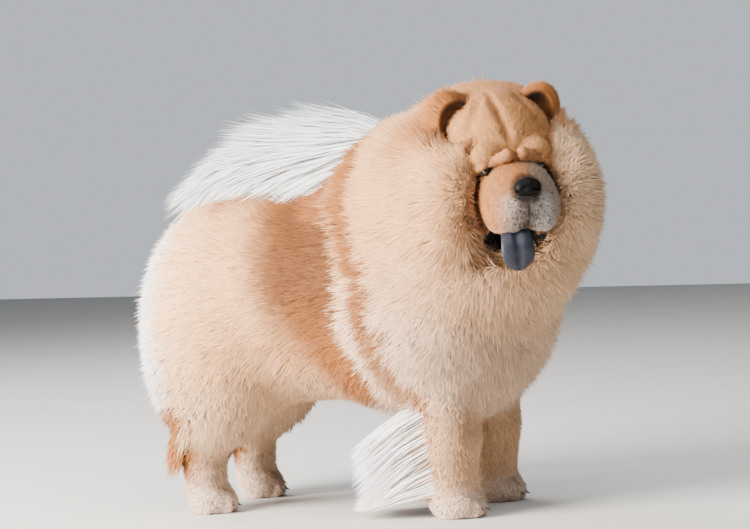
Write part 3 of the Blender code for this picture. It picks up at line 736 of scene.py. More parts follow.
@dataclass(frozen=True)
class Markings:
    """Where each colour of the coat lies, the same on the skin and on the tufts."""

    dog: Dog
    tones: Tones = field(default_factory=Tones)
    heights: tuple[float, ...] = (0.17, 0.23, 0.29, 0.335, 0.41, 0.47)
    saddle_front: tuple[float, ...] = (0.122, 0.098, 0.082, 0.079, 0.067, 0.052)
    saddle_back: tuple[float, ...] = (0.062, 0.025, -0.012, -0.035, -0.060, -0.075)
    stripe_heights: tuple[float, ...] = (0.19, 0.26, 0.335, 0.41, 0.475)
    stripe_forward: tuple[float, ...] = (0.150, 0.137, 0.112, 0.093, 0.074)

    def colour(self, points: Array) -> Array:
        """The coat's colour.

        Args:
            points: Places on the skin, in the dog's axes.

        Returns:
            Linear red, green and blue at each.
        """
        wander = waves(points, 0.09, 5) * 0.008 + waves(points, 0.03, 6) * 0.004
        moved = points + wander
        colour = self.trunk(moved)
        colour = self.legs(moved, colour)
        local = self.dog.head.axes(moved)
        bonnet = self.dog.head.bonnet(moved, local) + self.dog.head.bonnet_depth(local) * 0.8
        trunk = self.dog.trunk(moved) + self.dog.trunk_depth(moved) * 0.8
        owned = 1 - ramp(bonnet - trunk, -0.02, 0.03)
        colour = mix(colour, self.ruff(local), owned)
        return np.clip(self.face(points, colour), 0.0, 1.0)

    def trunk(self, points: Array) -> Array:
        """The colours of the trunk: saddle, stripes, rump, breeches and mane.

        Args:
            points: Places in the dog's axes.

        Returns:
            The colour at each.
        """
        tones = self.tones
        forward, up = -points[:, 1], points[:, 2]
        front = np.interp(up, self.heights, self.saddle_front)
        stripe = np.interp(up, self.stripe_heights, self.stripe_forward)
        colour = np.tile(tones.peach, (len(points), 1))
        colour = mix(colour, tones.cream, ramp(-forward, 0.15, 0.24) * 0.6)
        back = np.interp(up, self.heights, self.saddle_back)
        ahead = ramp(forward - front, -0.011, 0.011)
        saddle = ramp(forward - back, -0.060, 0.035) * (1 - ahead)
        colour = mix(colour, tones.orange, saddle)
        dark = ramp(up, 0.24, 0.38) * ramp(forward, -0.11, -0.02) * (1 - ramp(forward - front, -0.01, 0.004))
        colour = mix(colour, tones.saddle, dark * 0.9)
        ridge = ramp(up, 0.445, 0.470) * ramp(forward, -0.21, -0.15) * (1 - ramp(forward, 0.03, 0.07))
        colour = mix(colour, tones.orange, ridge * 0.8)
        colour = mix(colour, tones.cream, ahead)
        colour = mix(colour, tones.apricot, ahead * ramp(up, 0.30, 0.44) * 0.70)
        near = 1 - ramp(np.abs(forward - stripe), 0.011, 0.027)
        colour = mix(colour, tones.orange * 0.85, near * (0.70 + 0.30 * ramp(up, 0.20, 0.34)))
        colour = mix(colour, tones.white, ahead * (1 - ramp(up, 0.27, 0.37)) * (1 - near) * 0.15)
        between = ahead * (1 - ramp(forward - stripe, -0.01, 0.005)) * ramp(up, 0.40, 0.46)
        colour = mix(colour, tones.orange, between * 0.8)
        low = ramp(0.27 - up, 0.0, 0.06) * (1 - ahead) * (1 - saddle)
        colour = mix(colour, tones.fawn, low * 0.45)
        # partly the coat's own fawn, partly painted shade, on the throat turned down from the light
        throat = ramp(forward, 0.17, 0.25) * ramp(0.33 - up, 0.0, 0.08)
        colour = mix(colour, tones.fawn, throat * 0.55)
        return mix(colour, tones.white, ramp(-forward, 0.210, 0.285) * ramp(up, 0.15, 0.20))

    def legs(self, points: Array, colour: Array) -> Array:
        """The colours of the legs, over those of the trunk.

        Args:
            points: Places in the dog's axes.
            colour: The colour there so far.

        Returns:
            The colour at each.
        """
        tones = self.tones
        forward, up = -points[:, 1], points[:, 2]
        low = 1 - ramp(up, 0.15, 0.20)
        hind = low * (1 - ramp(forward, 0.0, 0.02))
        colour = mix(colour, mix(tones.cream, tones.fawn, np.full(len(up), 0.45)), hind)
        patch = ramp(-forward, 0.198, 0.232) * ramp(up, 0.03, 0.07) * (1 - ramp(up, 0.17, 0.21))
        colour = mix(colour, tones.orange, patch)
        fore = low * ramp(forward, 0.0, 0.02)
        colour = mix(colour, tones.cream, fore)
        shin = np.exp(-(((forward - 0.168) / 0.020) ** 2)) * ramp(up, 0.05, 0.10) * (1 - ramp(up, 0.17, 0.22))
        colour = mix(mix(colour, tones.apricot, fore * 0.20), tones.orange, shin * 0.75)
        back = ramp(0.165 - forward, 0.0, 0.02) * ramp(forward, 0.02, 0.06) * low
        colour = mix(colour, tones.white, back)
        return mix(colour, tones.cream * 0.75 + tones.white * 0.25, 1 - ramp(up, 0.015, 0.080))

    def ruff(self, local: Array) -> Array:
        """The colours of the fur round the face, with painted shade on its far side, its crown and below the face.

        Args:
            local: Places in the head's own axes.

        Returns:
            The colour at each.
        """
        tones = self.tones
        beside = np.sqrt((local[:, 0] / 0.100) ** 2 + ((local[:, 2] - 0.010) / 0.120) ** 2)
        colour = np.tile(tones.cream, (len(local), 1))
        # painted shade: warm here and side below both weaken the apricot on the far side, away from the key light
        warm = ramp(local[:, 2], -0.19, -0.03) * (1 - 0.6 * ramp(local[:, 0], 0.0, 0.06))
        colour = mix(colour, tones.apricot, warm * 0.65)
        side = 0.35 - 0.25 * ramp(local[:, 0], 0.0, 0.09)
        # painted shade: the crown darkened towards orange
        colour = mix(colour, tones.orange, ramp(local[:, 2], 0.05, 0.09) * ramp(local[:, 1], 0.0, 0.04) * 0.35)
        # painted shade: the far side turned paler and greyer, towards fawn
        colour = mix(colour, tones.fawn, ramp(local[:, 0], 0.02, 0.10) * 0.6)
        colour = mix(colour, tones.apricot, (1 - ramp(beside, 0.95, 2.1)) * side)
        streak = np.exp(-(((local[:, 2] - 0.040 + 0.25 * (np.abs(local[:, 0]) - 0.1)) / 0.030) ** 2))
        streak *= ramp(np.abs(local[:, 0]), 0.06, 0.09) * ramp(local[:, 1], 0.03, 0.08)
        colour = mix(colour, tones.orange, streak * 0.75)
        # partly the coat's own fawn, partly painted shade, under the face
        return mix(colour, tones.fawn, ramp(-local[:, 2], 0.10, 0.20) * (1 - ramp(beside, 1.2, 2.4)) * 0.35)

    def face(self, points: Array, colour: Array) -> Array:
        """The colours of the face, ears and tail, over those of the ruff, with painted shade in the folds, the ears'
        hollows and the muzzle's far side.

        Args:
            points: Places in the dog's axes.
            colour: The colour there so far.

        Returns:
            The colour at each.
        """
        tones, head = self.tones, self.dog.head
        local = head.axes(points)
        forward = -local[:, 1]
        brow, button, muzzle = head.brow(local), head.button(local), head.muzzle(local)
        owned = 1 - ramp(np.minimum(np.minimum(brow, muzzle), button), 0.001, 0.008)
        skin = np.tile(tones.forehead, (len(points), 1))
        skin = mix(skin, tones.apricot, ramp(0.045 - local[:, 2], 0.0, 0.02) * 0.6)
        # painted shade: the furrow and frown creases darkened towards orange
        skin = mix(skin, tones.orange, (1 - ramp(np.minimum(head.furrow(local), head.frown(local)), 0.0, 0.010)) * 0.5)
        skin = mix(skin, tones.forehead * 1.05, 1 - ramp(button, -0.001, 0.003))
        on_muzzle = 1 - ramp(muzzle - np.minimum(brow, button), -0.002, 0.002)
        ball_colour = np.tile(tones.muzzle, (len(points), 1))
        rim = ramp(local[:, 2], -0.022, 0.004)
        ball_colour = mix(ball_colour, tones.orange, rim * 0.20)
        low = ramp(-local[:, 2], 0.066, 0.086)
        ball_colour = mix(ball_colour, tones.cream, low * 0.35)
        # painted shade: the far side of the muzzle, away from the key light, greyed
        ball_colour = mix(ball_colour, tones.grey * 1.6, ramp(local[:, 0], -0.004, 0.028) * ramp(forward, 0.0, 0.03) * 0.75)
        middle = np.exp(-((local[:, 0] / 0.020) ** 2)) * ramp(forward, 0.045, 0.065)
        ball_colour = mix(ball_colour, tones.grey, middle * ramp(-local[:, 2], 0.012, 0.026) * 0.9)
        beside = np.exp(-((np.abs(local[:, 0]) - 0.022) / 0.014) ** 2) * ramp(forward, 0.04, 0.06)
        ball_colour = mix(ball_colour, tones.white, beside * 0.3 * ramp(-local[:, 2], 0.02, 0.04))
        nose = 1 - ramp(np.linalg.norm(local - head.nose_at, axis=1), 0.019, 0.026)
        ball_colour = mix(ball_colour, tones.black, nose * 0.8)
        mottle = 1 + 0.22 * waves(local * [1.0, 1.0, 0.6], 0.007, 44)[:, :1] + 0.08 * waves(local, 0.018, 45)[:, :1]
        skin = mix(skin * mottle, ball_colour * mottle, on_muzzle)
        colour = mix(colour, skin, owned)
        # painted shade: the folds of the face darkened to the crease tone
        colour = mix(colour, tones.crease, self.creases(local) * 0.85)
        ear = head.ear(local)
        outer = ball(both_sides(local), head.ear_at + at(0.013, -0.002, 0.0), (0.012, 0.025, 0.034))
        colour = mix(colour, tones.ear, 1 - ramp(ear, 0.001, 0.008))
        # painted shade: the hollow of each ear darkened
        cup = (1 - ramp(ear, 0.001, 0.008)) * (1 - ramp(outer, -0.003, 0.005))
        colour = mix(colour, tones.ear_hollow_shade, cup)
        tail = 1 - ramp(self.dog.tail(points), 0.0, 0.020)
        colour = mix(colour, tones.white, tail * ramp(points[:, 2], 0.47, 0.50))
        dark = np.maximum(self.lips(local), self.rims(local))
        return mix(colour, tones.black, dark)

    def creases(self, local: Array) -> Array:
        """How deep in a fold of the face each point lies, which sets the painted shade of the folds.

        Args:
            local: Places in the head's own axes.

        Returns:
            0 on the open face to 1 in a fold.
        """
        head = self.dog.head
        brow, button, muzzle = head.brow(local), head.button(local), head.muzzle(local)
        skull = np.minimum(brow, button)
        near = ramp(0.010 - np.minimum(skull, muzzle), 0.0, 0.004)
        beside = np.exp(-(((muzzle - skull) / 0.0030) ** 2)) * ramp(0.012 - np.maximum(muzzle, skull), 0.0, 0.006)
        pad = np.exp(-(((button - brow) / 0.0018) ** 2)) * ramp(0.006 - np.maximum(button, brow), 0.0, 0.004)
        furrow = 1 - ramp(np.minimum(head.furrow(local), head.frown(local)), 0.0, 0.004)
        around = ball(local, head.muzzle_at + at(0.002, 0, -0.004), (0.070, 0.064, 0.062))
        groove = (1 - ramp(np.abs(around - 0.002), 0.001, 0.007)) * (1 - ramp(-local[:, 1], -0.01, 0.03))
        return np.maximum(np.maximum(beside, pad), np.maximum(furrow * 0.8, groove)) * near

    def lips(self, local: Array) -> Array:
        """Where the black skin of the mouth and lips shows.

        Args:
            local: Places in the head's own axes.

        Returns:
            0 to 1 at each place.
        """
        mouth = self.dog.head.mouth(local)
        inside = 1 - ramp(mouth, 0.0005, 0.0040)
        cleft = 1 - ramp(np.abs(local[:, 0]), 0.001, 0.004)
        cleft *= ramp(-local[:, 1], 0.05, 0.06) * ramp(-local[:, 2], 0.030, 0.045)
        return np.maximum(inside, cleft * 0.8)

    def rims(self, local: Array) -> Array:
        """Where the black rims of the lids show.

        Args:
            local: Places in the head's own axes.

        Returns:
            0 to 1 at each place.
        """
        head = self.dog.head
        away = np.linalg.norm(both_sides(local) - head.eye_at, axis=1)
        return (1 - ramp(head.slit(local), 0.0004, 0.0026)) * (1 - ramp(away, 0.020, 0.026))


def mesh_piece(name: str, points: Array, faces: Array) -> bpy.types.Object:
    """A mesh object made from arrays.

    Args:
        name: The piece's name.
        points: Its points.
        faces: Its faces, all with the same number of corners.

    Returns:
        The object, linked to the scene and shaded smooth.
    """
    mesh = bpy.data.meshes.new(name)
    count, corners = faces.shape
    mesh.vertices.add(len(points))
    mesh.vertices.foreach_set("co", points.astype(np.float32).ravel())
    mesh.loops.add(count * corners)
    mesh.loops.foreach_set("vertex_index", faces.astype(np.int32).ravel())
    mesh.polygons.add(count)
    mesh.polygons.foreach_set("loop_start", np.arange(0, count * corners, corners, dtype=np.int32))
    mesh.update(calc_edges=True)
    mesh.polygons.foreach_set("use_smooth", np.ones(count, bool))
    made = bpy.data.objects.new(name, mesh)
    bpy.context.scene.collection.objects.link(made)
    return made


def triangles_of(mesh: bpy.types.Mesh) -> tuple[Array, Array]:
    """A mesh's points and triangles.

    Args:
        mesh: Any mesh.

    Returns:
        Its points and the corners of its triangles.
    """
    mesh.calc_loop_triangles()
    points = np.empty(len(mesh.vertices) * 3, np.float32)
    mesh.vertices.foreach_get("co", points)
    faces = np.empty(len(mesh.loop_triangles) * 3, np.int32)
    mesh.loop_triangles.foreach_get("vertices", faces)
    return points.reshape(-1, 3).astype(float), faces.reshape(-1, 3)


def paint(piece: bpy.types.Object, colours: Array) -> None:
    """Store a colour at each point of a piece.

    Args:
        piece: The piece.
        colours: Linear red, green and blue at each point.
    """
    layer = piece.data.attributes.new(COLOUR, "FLOAT_COLOR", "POINT")
    full = np.concatenate([colours, np.ones((len(colours), 1))], axis=1)
    layer.data.foreach_set("color", full.astype(np.float32).ravel())


def grid_surface(shape: Field, low: Array, high: Array, step: float, coarse: int = 5) -> tuple[Array, Array]:
    """The zero surface of a field, with only the blocks near it sampled finely.

    Args:
        shape: The field.
        low: The lowest corner of its box.
        high: The highest corner.
        step: The grid's step.
        coarse: How many steps make a block.

    Returns:
        Its points and its four-sided faces.
    """
    size = step * coarse
    blocks = np.ceil((high - low) / size).astype(int)
    rows = [low[i] + size * (np.arange(blocks[i]) + 0.5) for i in range(3)]
    centres = np.stack(np.meshgrid(*rows, indexing="ij"), -1)
    rough = shape(centres.reshape(-1, 3)).reshape(blocks)
    near = np.abs(rough) < size * 1.5
    spread = np.repeat(np.repeat(np.repeat(np.stack([rough, near]), coarse, 1), coarse, 2), coarse, 3)
    values, mask = spread[0], spread[1] > 0.5
    values[mask] = shape(low + step * (np.argwhere(mask) + 0.5))
    grid = openvdb.FloatGrid(float(size))
    grid.copyFromArray(values.astype(np.float32))
    points, _, quads = grid.convertToPolygons(isovalue=0.0, adaptivity=0.0)
    return points * step + low + step * 0.5, quads


def apply_all(piece: bpy.types.Object) -> None:
    """Put the result of a piece's modifiers in its mesh.

    Args:
        piece: The piece.
    """
    graph = bpy.context.evaluated_depsgraph_get()
    mesh = bpy.data.meshes.new_from_object(piece.evaluated_get(graph))
    piece.modifiers.clear()
    old = piece.data
    piece.data = mesh
    bpy.data.meshes.remove(old)


def keep_largest(piece: bpy.types.Object) -> None:
    """Drop all but the largest closed surface of a piece and face it outwards.

    Args:
        piece: The piece.
    """
    points, faces = triangles_of(piece.data)
    group = np.arange(len(points))
    while True:
        lowest = group[faces].min(1)
        new = group.copy()
        for corner in range(3):
            np.minimum.at(new, faces[:, corner], lowest)
        new = new[new]
        if (new == group).all():
            break
        group = new
    area = np.linalg.norm(
        np.cross(points[faces[:, 1]] - points[faces[:, 0]], points[faces[:, 2]] - points[faces[:, 0]]), axis=1
    )
    labels = group[faces[:, 0]]
    totals = np.bincount(labels, area)
    kept = faces[labels == totals.argmax()]
    used, index = np.unique(kept, return_inverse=True)
    kept = index.reshape(-1, 3)
    points = points[used]
    if np.linalg.det(points[kept]).sum() < 0:
        kept = kept[:, ::-1]
    name, old = piece.name, piece.data
    made = mesh_piece(name + "_kept", points, kept)
    piece.data = made.data
    bpy.data.objects.remove(made)
    bpy.data.meshes.remove(old)
    piece.data.name = name


@dataclass(frozen=True)
class FurFinish:
    """Matt fur: colour from the coat's own paint, broken up along each strand."""

    name: str
    roughness: float = 0.78
    sheen: float = 0.04
    streak: float = 0.35
    grain: float = 900.0
    bump: float = 0.15

    def material(self) -> bpy.types.Material:
        """The material.

        Returns:
            A Principled material with streaks and a fine bump.
        """
        made, shader, tree = principled(self.name, (0.8, 0.7, 0.6), self.roughness)
        shader.inputs["Specular IOR Level"].default_value = 0.25
        shader.inputs["Sheen Weight"].default_value = self.sheen
        shader.inputs["Sheen Roughness"].default_value = 0.5
        shader.inputs["Sheen Tint"].default_value = (1.0, 0.96, 0.92, 1.0)
        paint_node = tree.nodes.new("ShaderNodeAttribute")
        paint_node.attribute_name = COLOUR
        strand = tree.nodes.new("ShaderNodeAttribute")
        strand.attribute_name = STRAND
        streaks = tree.nodes.new("ShaderNodeTexNoise")
        streaks.inputs["Scale"].default_value = 6.0
        streaks.inputs["Detail"].default_value = 3.0
        tree.links.new(strand.outputs["Vector"], streaks.inputs["Vector"])
        span = tree.nodes.new("ShaderNodeMapRange")
        span.inputs["From Min"].default_value = 0.30
        span.inputs["From Max"].default_value = 0.70
        span.inputs["To Min"].default_value = 1.0 - self.streak
        span.inputs["To Max"].default_value = 1.0 + self.streak * 0.5
        tree.links.new(streaks.outputs["Fac"], span.inputs["Value"])
        scale = tree.nodes.new("ShaderNodeVectorMath")
        scale.operation = "SCALE"
        tree.links.new(paint_node.outputs["Color"], scale.inputs[0])
        tree.links.new(span.outputs["Result"], scale.inputs["Scale"])
        tree.links.new(scale.outputs["Vector"], shader.inputs["Base Color"])
        add_bump(tree, shader, self.grain, self.bump, 0.001)
        return made


def principled(
    name: str, colour: tuple[float, float, float], roughness: float
) -> tuple[bpy.types.Material, bpy.types.Node, bpy.types.NodeTree]:
    """A material with one Principled shader.

    Args:
        name: Its name.
        colour: Its base colour, linear.
        roughness: Its roughness.

    Returns:
        The material, its shader and its node tree.
    """
    made = bpy.data.materials.new(name)
    made.use_nodes = True
    shader = made.node_tree.nodes["Principled BSDF"]
    shader.inputs["Base Color"].default_value = (*colour, 1.0)
    shader.inputs["Roughness"].default_value = roughness
    return made, shader, made.node_tree


def add_bump(
    tree: bpy.types.NodeTree, shader: bpy.types.Node, scale: float, strength: float, depth: float
) -> None:
    """Fine relief from noise on the piece's own coordinates.

    Args:
        tree: The material's nodes.
        shader: The shader that takes the relief.
        scale: The noise's scale.
        strength: The bump's strength.
        depth: The bump's height.
    """
    where = tree.nodes.new("ShaderNodeTexCoord")
    noise = tree.nodes.new("ShaderNodeTexNoise")
    noise.inputs["Scale"].default_value = scale
    noise.inputs["Detail"].default_value = 2.0
    bump = tree.nodes.new("ShaderNodeBump")
    bump.inputs["Strength"].default_value = strength
    bump.inputs["Distance"].default_value = depth
    tree.links.new(where.outputs["Object"], noise.inputs["Vector"])
    tree.links.new(noise.outputs["Fac"], bump.inputs["Height"])
    tree.links.new(bump.outputs["Normal"], shader.inputs["Normal"])


@dataclass(frozen=True)
class WetFinish:
    """Moist bare skin, with two tones mixed by noise."""

    name: str
    dark: Array
    light: Array
    roughness: float
    grain: float
    bump: float
    depth: float
    coat: float = 0.0
    cells: bool = False
    specular: float = 0.5

    def material(self) -> bpy.types.Material:
        """The material.

        Returns:
            A Principled material with mottled colour and relief.
        """
        made, shader, tree = principled(self.name, tuple(self.dark), self.roughness)
        shader.inputs["Coat Weight"].default_value = self.coat
        shader.inputs["Specular IOR Level"].default_value = self.specular
        shader.inputs["Coat Roughness"].default_value = 0.15
        where = tree.nodes.new("ShaderNodeTexCoord")
        mottle = tree.nodes.new("ShaderNodeTexNoise")
        mottle.inputs["Scale"].default_value = self.grain * 0.25
        mottle.inputs["Detail"].default_value = 4.0
        colours = tree.nodes.new("ShaderNodeMix")
        colours.data_type = "RGBA"
        colours.inputs["A"].default_value = (*self.dark, 1.0)
        colours.inputs["B"].default_value = (*self.light, 1.0)
        tree.links.new(where.outputs["Object"], mottle.inputs["Vector"])
        tree.links.new(mottle.outputs["Fac"], colours.inputs["Factor"])
        tree.links.new(colours.outputs["Result"], shader.inputs["Base Color"])
        if not self.cells:
            add_bump(tree, shader, self.grain, self.bump, self.depth)
            return made
        cells = tree.nodes.new("ShaderNodeTexVoronoi")
        cells.inputs["Scale"].default_value = self.grain
        bump = tree.nodes.new("ShaderNodeBump")
        bump.inputs["Strength"].default_value = self.bump
        bump.inputs["Distance"].default_value = self.depth
        bump.invert = True
        tree.links.new(where.outputs["Object"], cells.inputs["Vector"])
        tree.links.new(cells.outputs["Distance"], bump.inputs["Height"])
        tree.links.new(bump.outputs["Normal"], shader.inputs["Normal"])
        return made


@dataclass(frozen=True)
class Style:
    """How the tufts of one stretch of the coat are cut and combed."""

    guards: float
    fluff: float
    lean: float
    width: float
    fluff_width: float
    spread: float = 0.0025
    wisps: float = 0.05
    wisp_reach: float = 0.008
    least: float = 0.004
    ruffle: float = 0.18
    lumps: float = 0.0032
    gather: float = 0.30


class Where(Enum):
    """The stretches that the coat is made in, one piece each."""

    FACE = "coat_face"
    CROWN = "coat_crown"
    RUFF_LEFT = "coat_ruff_left"
    RUFF_RIGHT = "coat_ruff_right"
    MANE_LEFT = "coat_mane_left"
    MANE_RIGHT = "coat_mane_right"
    CHEST = "coat_chest"
    FLANK_LEFT = "coat_flank_left"
    FLANK_RIGHT = "coat_flank_right"
    RUMP = "coat_rump"
    BELLY = "coat_belly"
    LEGS_FRONT = "coat_legs_front"
    LEGS_HIND = "coat_legs_hind"
    EARS = "coat_ears"


LONG = Style(22000, 195000, 0.85, 0.0036, 0.0051, wisp_reach=0.007)
STYLES = {
    Where.FACE: Style(
        90000, 700000, 1.5, 0.0012, 0.0016, 0.0014, wisp_reach=0.002, least=0.0035, ruffle=0.28, lumps=0.0004, gather=0.24
    ),
    Where.CROWN: Style(60000, 400000, 1.3, 0.0024, 0.0030, 0.0015, wisp_reach=0.004, lumps=0.0015),
    Where.RUFF_LEFT: LONG,
    Where.RUFF_RIGHT: LONG,
    Where.MANE_LEFT: LONG,
    Where.MANE_RIGHT: LONG,
    Where.CHEST: replace(LONG, ruffle=0.35),
    Where.FLANK_LEFT: replace(LONG, lean=1.0),
    Where.FLANK_RIGHT: replace(LONG, lean=1.0),
    Where.RUMP: replace(LONG, wisp_reach=0.010),
    Where.BELLY: replace(LONG, fluff=165000, ruffle=0.30),
    Where.LEGS_FRONT: Style(30000, 225000, 1.0, 0.0026, 0.0030, 0.0012, wisp_reach=0.003, lumps=0.001),
    Where.LEGS_HIND: Style(30000, 225000, 1.0, 0.0026, 0.0030, 0.0012, wisp_reach=0.003, lumps=0.001),
    Where.EARS: Style(0, 900000, 1.0, 0.0, 0.0018),
}


@dataclass
class Blades:
    """Closed three-sided blades as plain arrays, ready to be joined into one mesh."""

    points: Array
    faces: Array
    normals: Array
    colours: Array
    strand: Array
    patch: Array

    @staticmethod
    def joined(parts: list["Blades"]) -> "Blades":
        """Several sets of blades in one.

        Args:
            parts: The sets.

        Returns:
            All of them.
        """
        starts = np.cumsum([0] + [len(part.points) for part in parts])
        faces = np.concatenate([part.faces + start for part, start in zip(parts, starts)])
        rest = [
            np.concatenate([getattr(part, name) for part in parts])
            for name in ("points", "normals", "colours", "strand", "patch")
        ]
        return Blades(rest[0], faces, *rest[1:])

    def piece(self, name: str, shift: Array) -> bpy.types.Object:
        """The blades as one mesh.

        Args:
            name: The piece's name.
            shift: From the dog's axes to the frame's.

        Returns:
            The piece.
        """
        points = self.points + shift
        points[:, 2] = np.maximum(points[:, 2], 0.0006)
        piece = mesh_piece(name, points, self.faces)
        paint(piece, np.clip(self.colours, 0, 1))
        layer = piece.data.attributes.new(STRAND, "FLOAT_VECTOR", "POINT")
        layer.data.foreach_set("vector", self.strand.astype(np.float32).ravel())
        uv = self.patch[self.faces.ravel()]
        piece.data.uv_layers.new(name=BAKE_MAP).data.foreach_set("uv", uv.astype(np.float32).ravel())
        piece.data.normals_split_custom_set_from_vertices(unit(self.normals).astype(np.float32))
        return piece


@dataclass
class Tufts:
    """Many tufts as arrays: the rings of their middle lines and what dresses them."""

    middle: Array
    side: Array
    up: Array
    width: Array
    normal: Array
    roots: Array
    colours: Array
    thickness: float = 0.45
    # painted shade at the root of each tuft, as a share of its colour
    root_shade: float = 0.74

    def blades(self, unwrap: Callable[[Array], Array], seed: int) -> Blades:
        """The tufts as closed blades.

        Args:
            unwrap: Gives the place of each root on the skin's own map.
            seed: For the tone of each tuft.

        Returns:
            The blades.
        """
        draw = np.random.default_rng(seed)
        count, stations = self.middle.shape[:2]
        rings = stations - 1
        half = (self.side * self.width[:, :, None])[:, :rings] / 2
        rise = (self.up * self.width[:, :, None])[:, :rings] * self.thickness
        core = self.middle[:, :rings]
        ring = np.stack([core - half, core + half, core + rise], axis=2)
        points = np.concatenate([ring.reshape(count, rings * 3, 3), self.middle[:, rings:]], axis=1)
        normals = np.repeat(self.normal, 3, axis=1)[:, : rings * 3]
        normals = np.concatenate([normals, self.normal[:, rings:]], axis=1)
        one = self.corners(rings)
        if np.linalg.det(points[0][one] - points[0].mean(0)).sum() < 0:
            one = one[:, ::-1]
        per = rings * 3 + 1
        faces = (one[None] + per * np.arange(count)[:, None, None]).reshape(-1, 3)
        along = np.append(np.repeat(np.arange(rings) / rings, 3), 1.0)
        across = np.append(np.tile([0.0, 1.0, 0.5], rings), 0.5)
        warmth = draw.normal(0.0, 0.018, count)
        tint = np.stack([1 + warmth, np.ones(count), 1 - warmth], 1) * draw.normal(1.0, 0.07, (count, 1))
        # painted shade: each tuft darker towards its root, deep in the coat; the slightly lighter tip is the coat's own
        # colour
        shade = self.root_shade + (1.03 - self.root_shade) * along**0.8
        colours = self.colours[:, None, :] * tint[:, None, :] * shade[None, :, None]
        strand = np.zeros((count, per, 3))
        strand[:, :, 0] = across * 1.2 + draw.uniform(0, 40, count)[:, None]
        strand[:, :, 1] = along * 0.5
        strand[:, :, 2] = draw.uniform(0, 40, count)[:, None]
        place = 0.003 + 0.994 * np.clip(unwrap(self.roots), 0, 1)
        patch = place[:, None, :] + 0.003 * (np.stack([across, along], 1) - 0.5)[None]
        flat = [values.reshape(count * per, -1) for values in (points, normals, colours, strand, patch)]
        return Blades(flat[0], faces, *flat[1:])

    @staticmethod
    def corners(rings: int) -> Array:
        """The faces of one blade.

        Args:
            rings: How many rings it has below its tip.

        Returns:
            The corners of each triangle, counted ring by ring.
        """
        faces = [(0, 2, 1)]
        for k in range(rings - 1):
            for side in range(3):
                after = (side + 1) % 3
                low, high = 3 * k, 3 * k + 3
                faces.append((low + side, low + after, high + after))
                faces.append((low + side, high + after, high + side))
        for side in range(3):
            faces.append((3 * rings - 3 + side, 3 * rings - 3 + (side + 1) % 3, 3 * rings))
        return np.array(faces)


